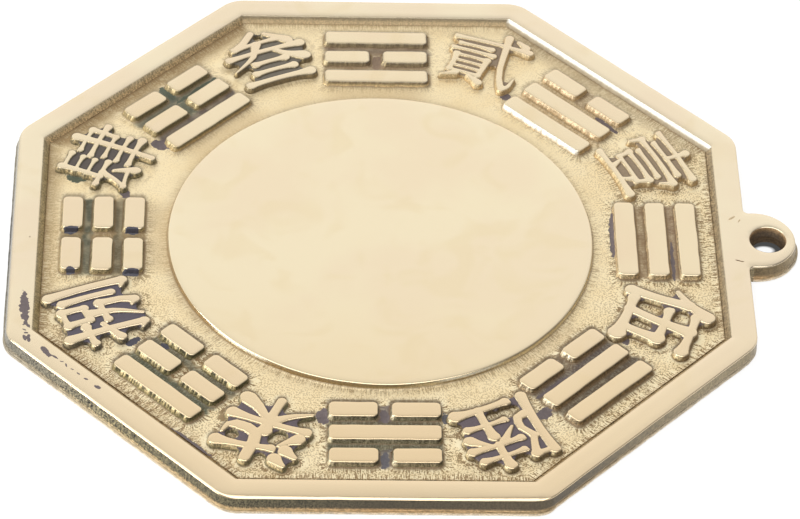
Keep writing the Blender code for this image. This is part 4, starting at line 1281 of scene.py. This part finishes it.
class Brass(Graph):
    """A brass material. Its place is in millimetres on the object, its flow runs along the walls."""

    def __init__(self, name):
        super().__init__(bpy.data.materials.new(name))
        self.place = self.scaled(self.node("TexCoord").outputs["Object"], (1 / MM,) * 3)
        self.flow = self.node("UVMap", uv_map="flow").outputs["UV"]

    def noise(self, scale, detail=2.0, rough=0.5, twist=0.0):
        """Noise by place where its scale is one number, and by flow where it is one for each axis."""
        by_flow = isinstance(scale, tuple)
        vector = self.scaled(self.flow, scale) if by_flow else self.scaled(self.place, (scale,) * 3)
        values = {"Vector": vector, "Scale": 1.0, "Detail": detail, "Roughness": rough, "Distortion": twist}
        return self.node("TexNoise", values).outputs["Fac"]

    def stored(self, name):
        """The colour, the number and the amount that a mesh keeps under a name."""
        outputs = self.node("Attribute", attribute_name=name).outputs
        return outputs["Color"], outputs["Fac"], outputs["Alpha"]

    def crusted(self, colour, grain):
        """Thick patina with a ragged border over a colour."""
        tone, _, amount = self.stored("crust")
        patch = self.fade(self.plus(amount, self.times(self.minus(grain, 0.5), 0.7)), 0.44, 0.52)
        return self.mix(patch, colour, self.dimmed(tone, self.fade(grain, 0.3, 0.7, 0.82, 1.16))), patch

    def finish(self, colour, roughness, metallic, relief, depth, strength):
        """Give the shader its values, with a bump of a depth in millimetres."""
        relief = self.node("Bump", {"Height": relief, "Distance": depth * MM, "Strength": strength})
        shader = self.nodes["Principled BSDF"].inputs
        for name, value in (("Base Color", colour), ("Roughness", roughness), ("Metallic", metallic),
                            ("Normal", relief.outputs["Normal"])):
            self.plug(shader[name], value)
        return self.owner


def polished_colour(brass, red, green, blue):
    """Pale lightly aged brass with soft yellow and pinkish clouds, warmer towards its lower side."""
    cloud = brass.noise(0.045, 3.0)
    warm = brass.noise(0.11, 2.0, twist=0.8)
    # Share that grows towards the plaque's lower side, broken up by clouds
    cloudy_y = brass.plus(brass.split(brass.place)["Y"], brass.times(cloud, 18))
    colour = linear(red, green, blue)
    for share, steps in ((brass.fade(cloud, 0.4, 0.62), (2, 5, 4)),
                         (brass.fade(warm, 0.5, 0.72, 0, 0.5), (6, 10, 16)),
                         (brass.fade(cloudy_y, 4, -50, 0, 0.85), (5, 14, 22))):
        colour = brass.mix(share, colour, linear(red - steps[0], green - steps[1], blue - steps[2]))
    return colour


def cast_brass(name, tone):
    """Polished tops, and patina with painted highlights, shade and reflections on the walls below them."""
    brass = Brass(name)
    fine = brass.noise(3.6, 3.0, 0.65)
    streak = brass.noise((3.0, 0.6, 1), 3.0, 0.6)
    grain = brass.plus(brass.times(fine, 0.7), brass.times(streak, 0.3))
    patina, _, grit = brass.stored("tint")
    swing = brass.minus(brass.fade(grain, 0.38, 0.62, 0.3, 1.9), 1)
    wall = brass.dimmed(patina, brass.plus(brass.times(swing, grit), 1))
    share = brass.stored("polish")[1]
    colour, patch = brass.crusted(brass.mix(share, wall, polished_colour(brass, *tone)), fine)
    rough = brass.plus(brass.fade(share, 0, 1, 0.36, 0.2), brass.times(patch, 0.2))
    shine = brass.times(brass.fade(share, 0, 1, 0.2, 1.0), brass.fade(patch, 0, 1, 1, 0.1))
    return brass.finish(colour, rough, shine, grain, 0.1, brass.times(brass.fade(share, 0, 1, 0.5, 0.0), grit))


def ground_brass():
    """Lightly stippled brass with patina in the slots and painted shade at the feet of the raised pieces, and the cast
    edge of the back with a painted reflection of the floor low on its front.
    """
    brass = Brass("textured_ground")
    away = brass.split(brass.flow)["Y"]
    stain, _, stained = brass.stored("stain")
    grit, lip = [brass.stored(name)[1] for name in ("grit", "lip")]
    fine = brass.noise(2.4, 3.0, 0.7)
    grain = brass.noise(3.4, 1.0)
    streak = brass.noise((6.4, 0.5, 1), 1.0)
    ragged = brass.plus(away, brass.times(brass.minus(brass.noise(0.8), 0.5), 3))
    fringe = brass.fade(ragged, 0.6, 2.6, 1, 0)
    mark = brass.plus(brass.times(brass.minus(grain, 0.5), brass.fade(fringe, 0, 1, 1, 0.55)),
                      brass.times(brass.minus(streak, 0.5), brass.fade(fringe, 0, 1, 0.1, 0.9)))
    depth = brass.node("RGBToBW", (stain,)).outputs[0]
    calm = brass.fade(brass.times(stained, brass.fade(depth, 0.17, 0.28, 1, 0)), 0.3, 0.8, 1, 0.25)
    strength = brass.times(brass.times(grit, calm), brass.fade(fringe, 0, 1, 0.45, 1.0))
    light = brass.times(brass.fade(mark, 0.02, 0.09), strength, clamp=True)
    dark = brass.times(brass.fade(mark, 0.0, -0.07), strength, clamp=True)
    foot = brass.fade(away, 0.1, 0.5, 1, 0)

    clouds = brass.fade(brass.noise(0.16, 3.0), 0.35, 0.65)
    colour = brass.mix(clouds, linear(255, 236, 194), linear(252, 230, 184))
    colour = brass.mix(brass.times(stained, brass.minus(1, lip)), colour, stain)
    colour = brass.mix(brass.times(light, 0.6), colour, linear(255, 244, 208))
    colour = brass.mix(dark, colour, brass.mix(0.6, brass.dimmed(colour, 0.42), linear(132, 96, 50)))
    colour = brass.mix(brass.times(foot, 0.6), colour, linear(126, 100, 62))
    colour, patch = brass.crusted(colour, fine)
    drawn = brass.noise((0.7, 5, 1), 2.0, 0.6)
    speck = brass.fade(brass.plus(brass.times(grain, 0.35), brass.times(drawn, 0.65)), 0.4, 0.6, 0.5, 1.45)
    edge = brass.dimmed(stain, brass.plus(1, brass.times(brass.minus(speck, 1), grit)))
    colour = brass.mix(lip, colour, edge)

    dull = brass.math("MAXIMUM", brass.math("MAXIMUM", stained, patch), foot)
    relief = brass.plus(brass.times(grain, grit), brass.times(brass.times(streak, fringe), 0.6))
    return brass.finish(colour, 0.42, brass.fade(dull, 0, 0.7, 1, 0.15), relief, 0.06,
                        brass.fade(patch, 0, 1, 0.7, 0.1))


def stage():
    """A plain white floor that keeps the object's shadow, with a painted shadow where the ear's hole shows it and a
    painted pool of light in that shadow.
    """
    mesh = bpy.data.meshes.new("floor")
    half = 3.0  # metres
    mesh.from_pydata([(-half, -half, 0), (half, -half, 0), (half, half, 0), (-half, half, 0)], [], [(0, 1, 2, 3)])
    floor = Graph(bpy.data.materials.new("floor_white"))
    shader = floor.nodes["Principled BSDF"]
    for name, value in (("Base Color", (0.9, 0.9, 0.9, 1)), ("Roughness", 0.9), ("Specular IOR Level", 0.0)):
        shader.inputs[name].default_value = value
    ray = floor.node("LightPath").outputs
    seen = floor.math("MAXIMUM", ray["Is Camera Ray"], ray["Is Glossy Ray"])
    seen = floor.math("MAXIMUM", seen, ray["Is Transmission Ray"])
    place = floor.node("TexCoord").outputs["Object"]
    # Under the ear's hole the floor shows only its glow, made weak as a painted shadow, with a brighter spot in it as
    # a painted pool of light
    away = floor.distance(place, (HOLE_CENTRE * MM, -0.5 * MM, 0))
    spot = floor.distance(floor.scaled(place, (0.6, 1, 1)), ((HOLE_CENTRE - 0.3) * MM * 0.6, 0.75 * MM, 0))
    glow_with_hole_shadow, share = [floor.fade(away, 3.6 * MM, 4.4 * MM, *ends, way="LINEAR") for ends in ((0.07, 1.2), (1.0, 0.68))]
    patch = floor.fade(spot, 0.75 * MM, 1.2 * MM, 0.9, 0.0, way="LINEAR")
    glow = floor.node("Emission", {"Strength": floor.plus(glow_with_hole_shadow, patch)})
    blend = floor.node("MixShader", (floor.times(seen, share), shader.outputs[0], glow.outputs[0]))
    floor.plug(floor.nodes["Material Output"].inputs["Surface"], blend.outputs[0])
    mesh.materials.append(floor.owner)
    linked("floor", mesh)


def lamp(name, at, width, height, watts):
    """A rectangular light that points at the plaque. Its place and size are in metres."""
    data = bpy.data.lights.new(name, "AREA")
    data.shape = "RECTANGLE"
    data.size, data.size_y, data.energy = width, height, watts
    made = linked(name, data)
    made.location = at
    made.rotation_euler = (-made.location).to_track_quat("-Z", "Y").to_euler()


# Brightness of the studio round from the far horizon over the top to the near one
SKY = ((0.0, 1.04), (0.19, 1.03), (0.239, 0.995), (0.256, 0.955), (0.294, 0.86), (0.34, 0.72), (0.375, 0.5),
       (0.42, 0.42), (0.64, 0.38), (0.8, 0.28), (1.0, 0.26))


def light():
    """Soft studio light: a bright far side, a darker near side and right, and two soft boxes."""
    studio = Graph(bpy.data.worlds.new("studio"))
    bpy.context.scene.world = studio.owner
    way = studio.split(studio.node("TexCoord").outputs["Generated"])
    turn = studio.math("ARCTAN2", way["Z"], way["Y"])
    ramp = studio.node("ValToRGB", (studio.math("DIVIDE", turn, math.pi),))
    stops = ramp.color_ramp.elements
    for number, (place, strength) in enumerate(SKY):
        stop = stops[number] if number < 2 else stops.new(place)
        stop.position, stop.color = place, (strength, strength, strength, 1)
    background = studio.nodes["Background"].inputs
    studio.plug(background["Color"], ramp.outputs["Color"])
    studio.plug(background["Strength"], studio.fade(way["X"], 0.25, 0.95, 1.0, 0.5))
    lamp("left_softbox", (-0.95, -0.2, 0.34), 0.6, 0.22, 5)
    lamp("top_softbox", (-0.12, -0.18, 1.0), 1.6, 0.72, 6.8)


def camera():
    data = bpy.data.cameras.new("camera")
    data.lens, data.sensor_width = LENS, 36
    data.clip_start, data.clip_end = 0.01, 20
    view = linked("camera", data)
    view.location = CAMERA_AT
    view.rotation_euler = Euler(CAMERA_TURN)
    bpy.context.scene.camera = view


bpy.context.scene.view_settings.view_transform = "Standard"
camera()
light()
stage()
make_back_plate(ground_brass())
make_rim(cast_brass("rim_brass", (244, 229, 198)))
make_disc(cast_brass("disc_brass", (246, 231, 197)))
bar_brass = cast_brass("bar_brass", (242, 224, 189))
for number, bar in enumerate(BARS):
    make_bar(number, bar, bar_brass)
numeral_brass = cast_brass("numeral_brass", (242, 224, 189))
for number, turn, rows in NUMERALS:
    make_numeral(number, turn, rows, numeral_brass)
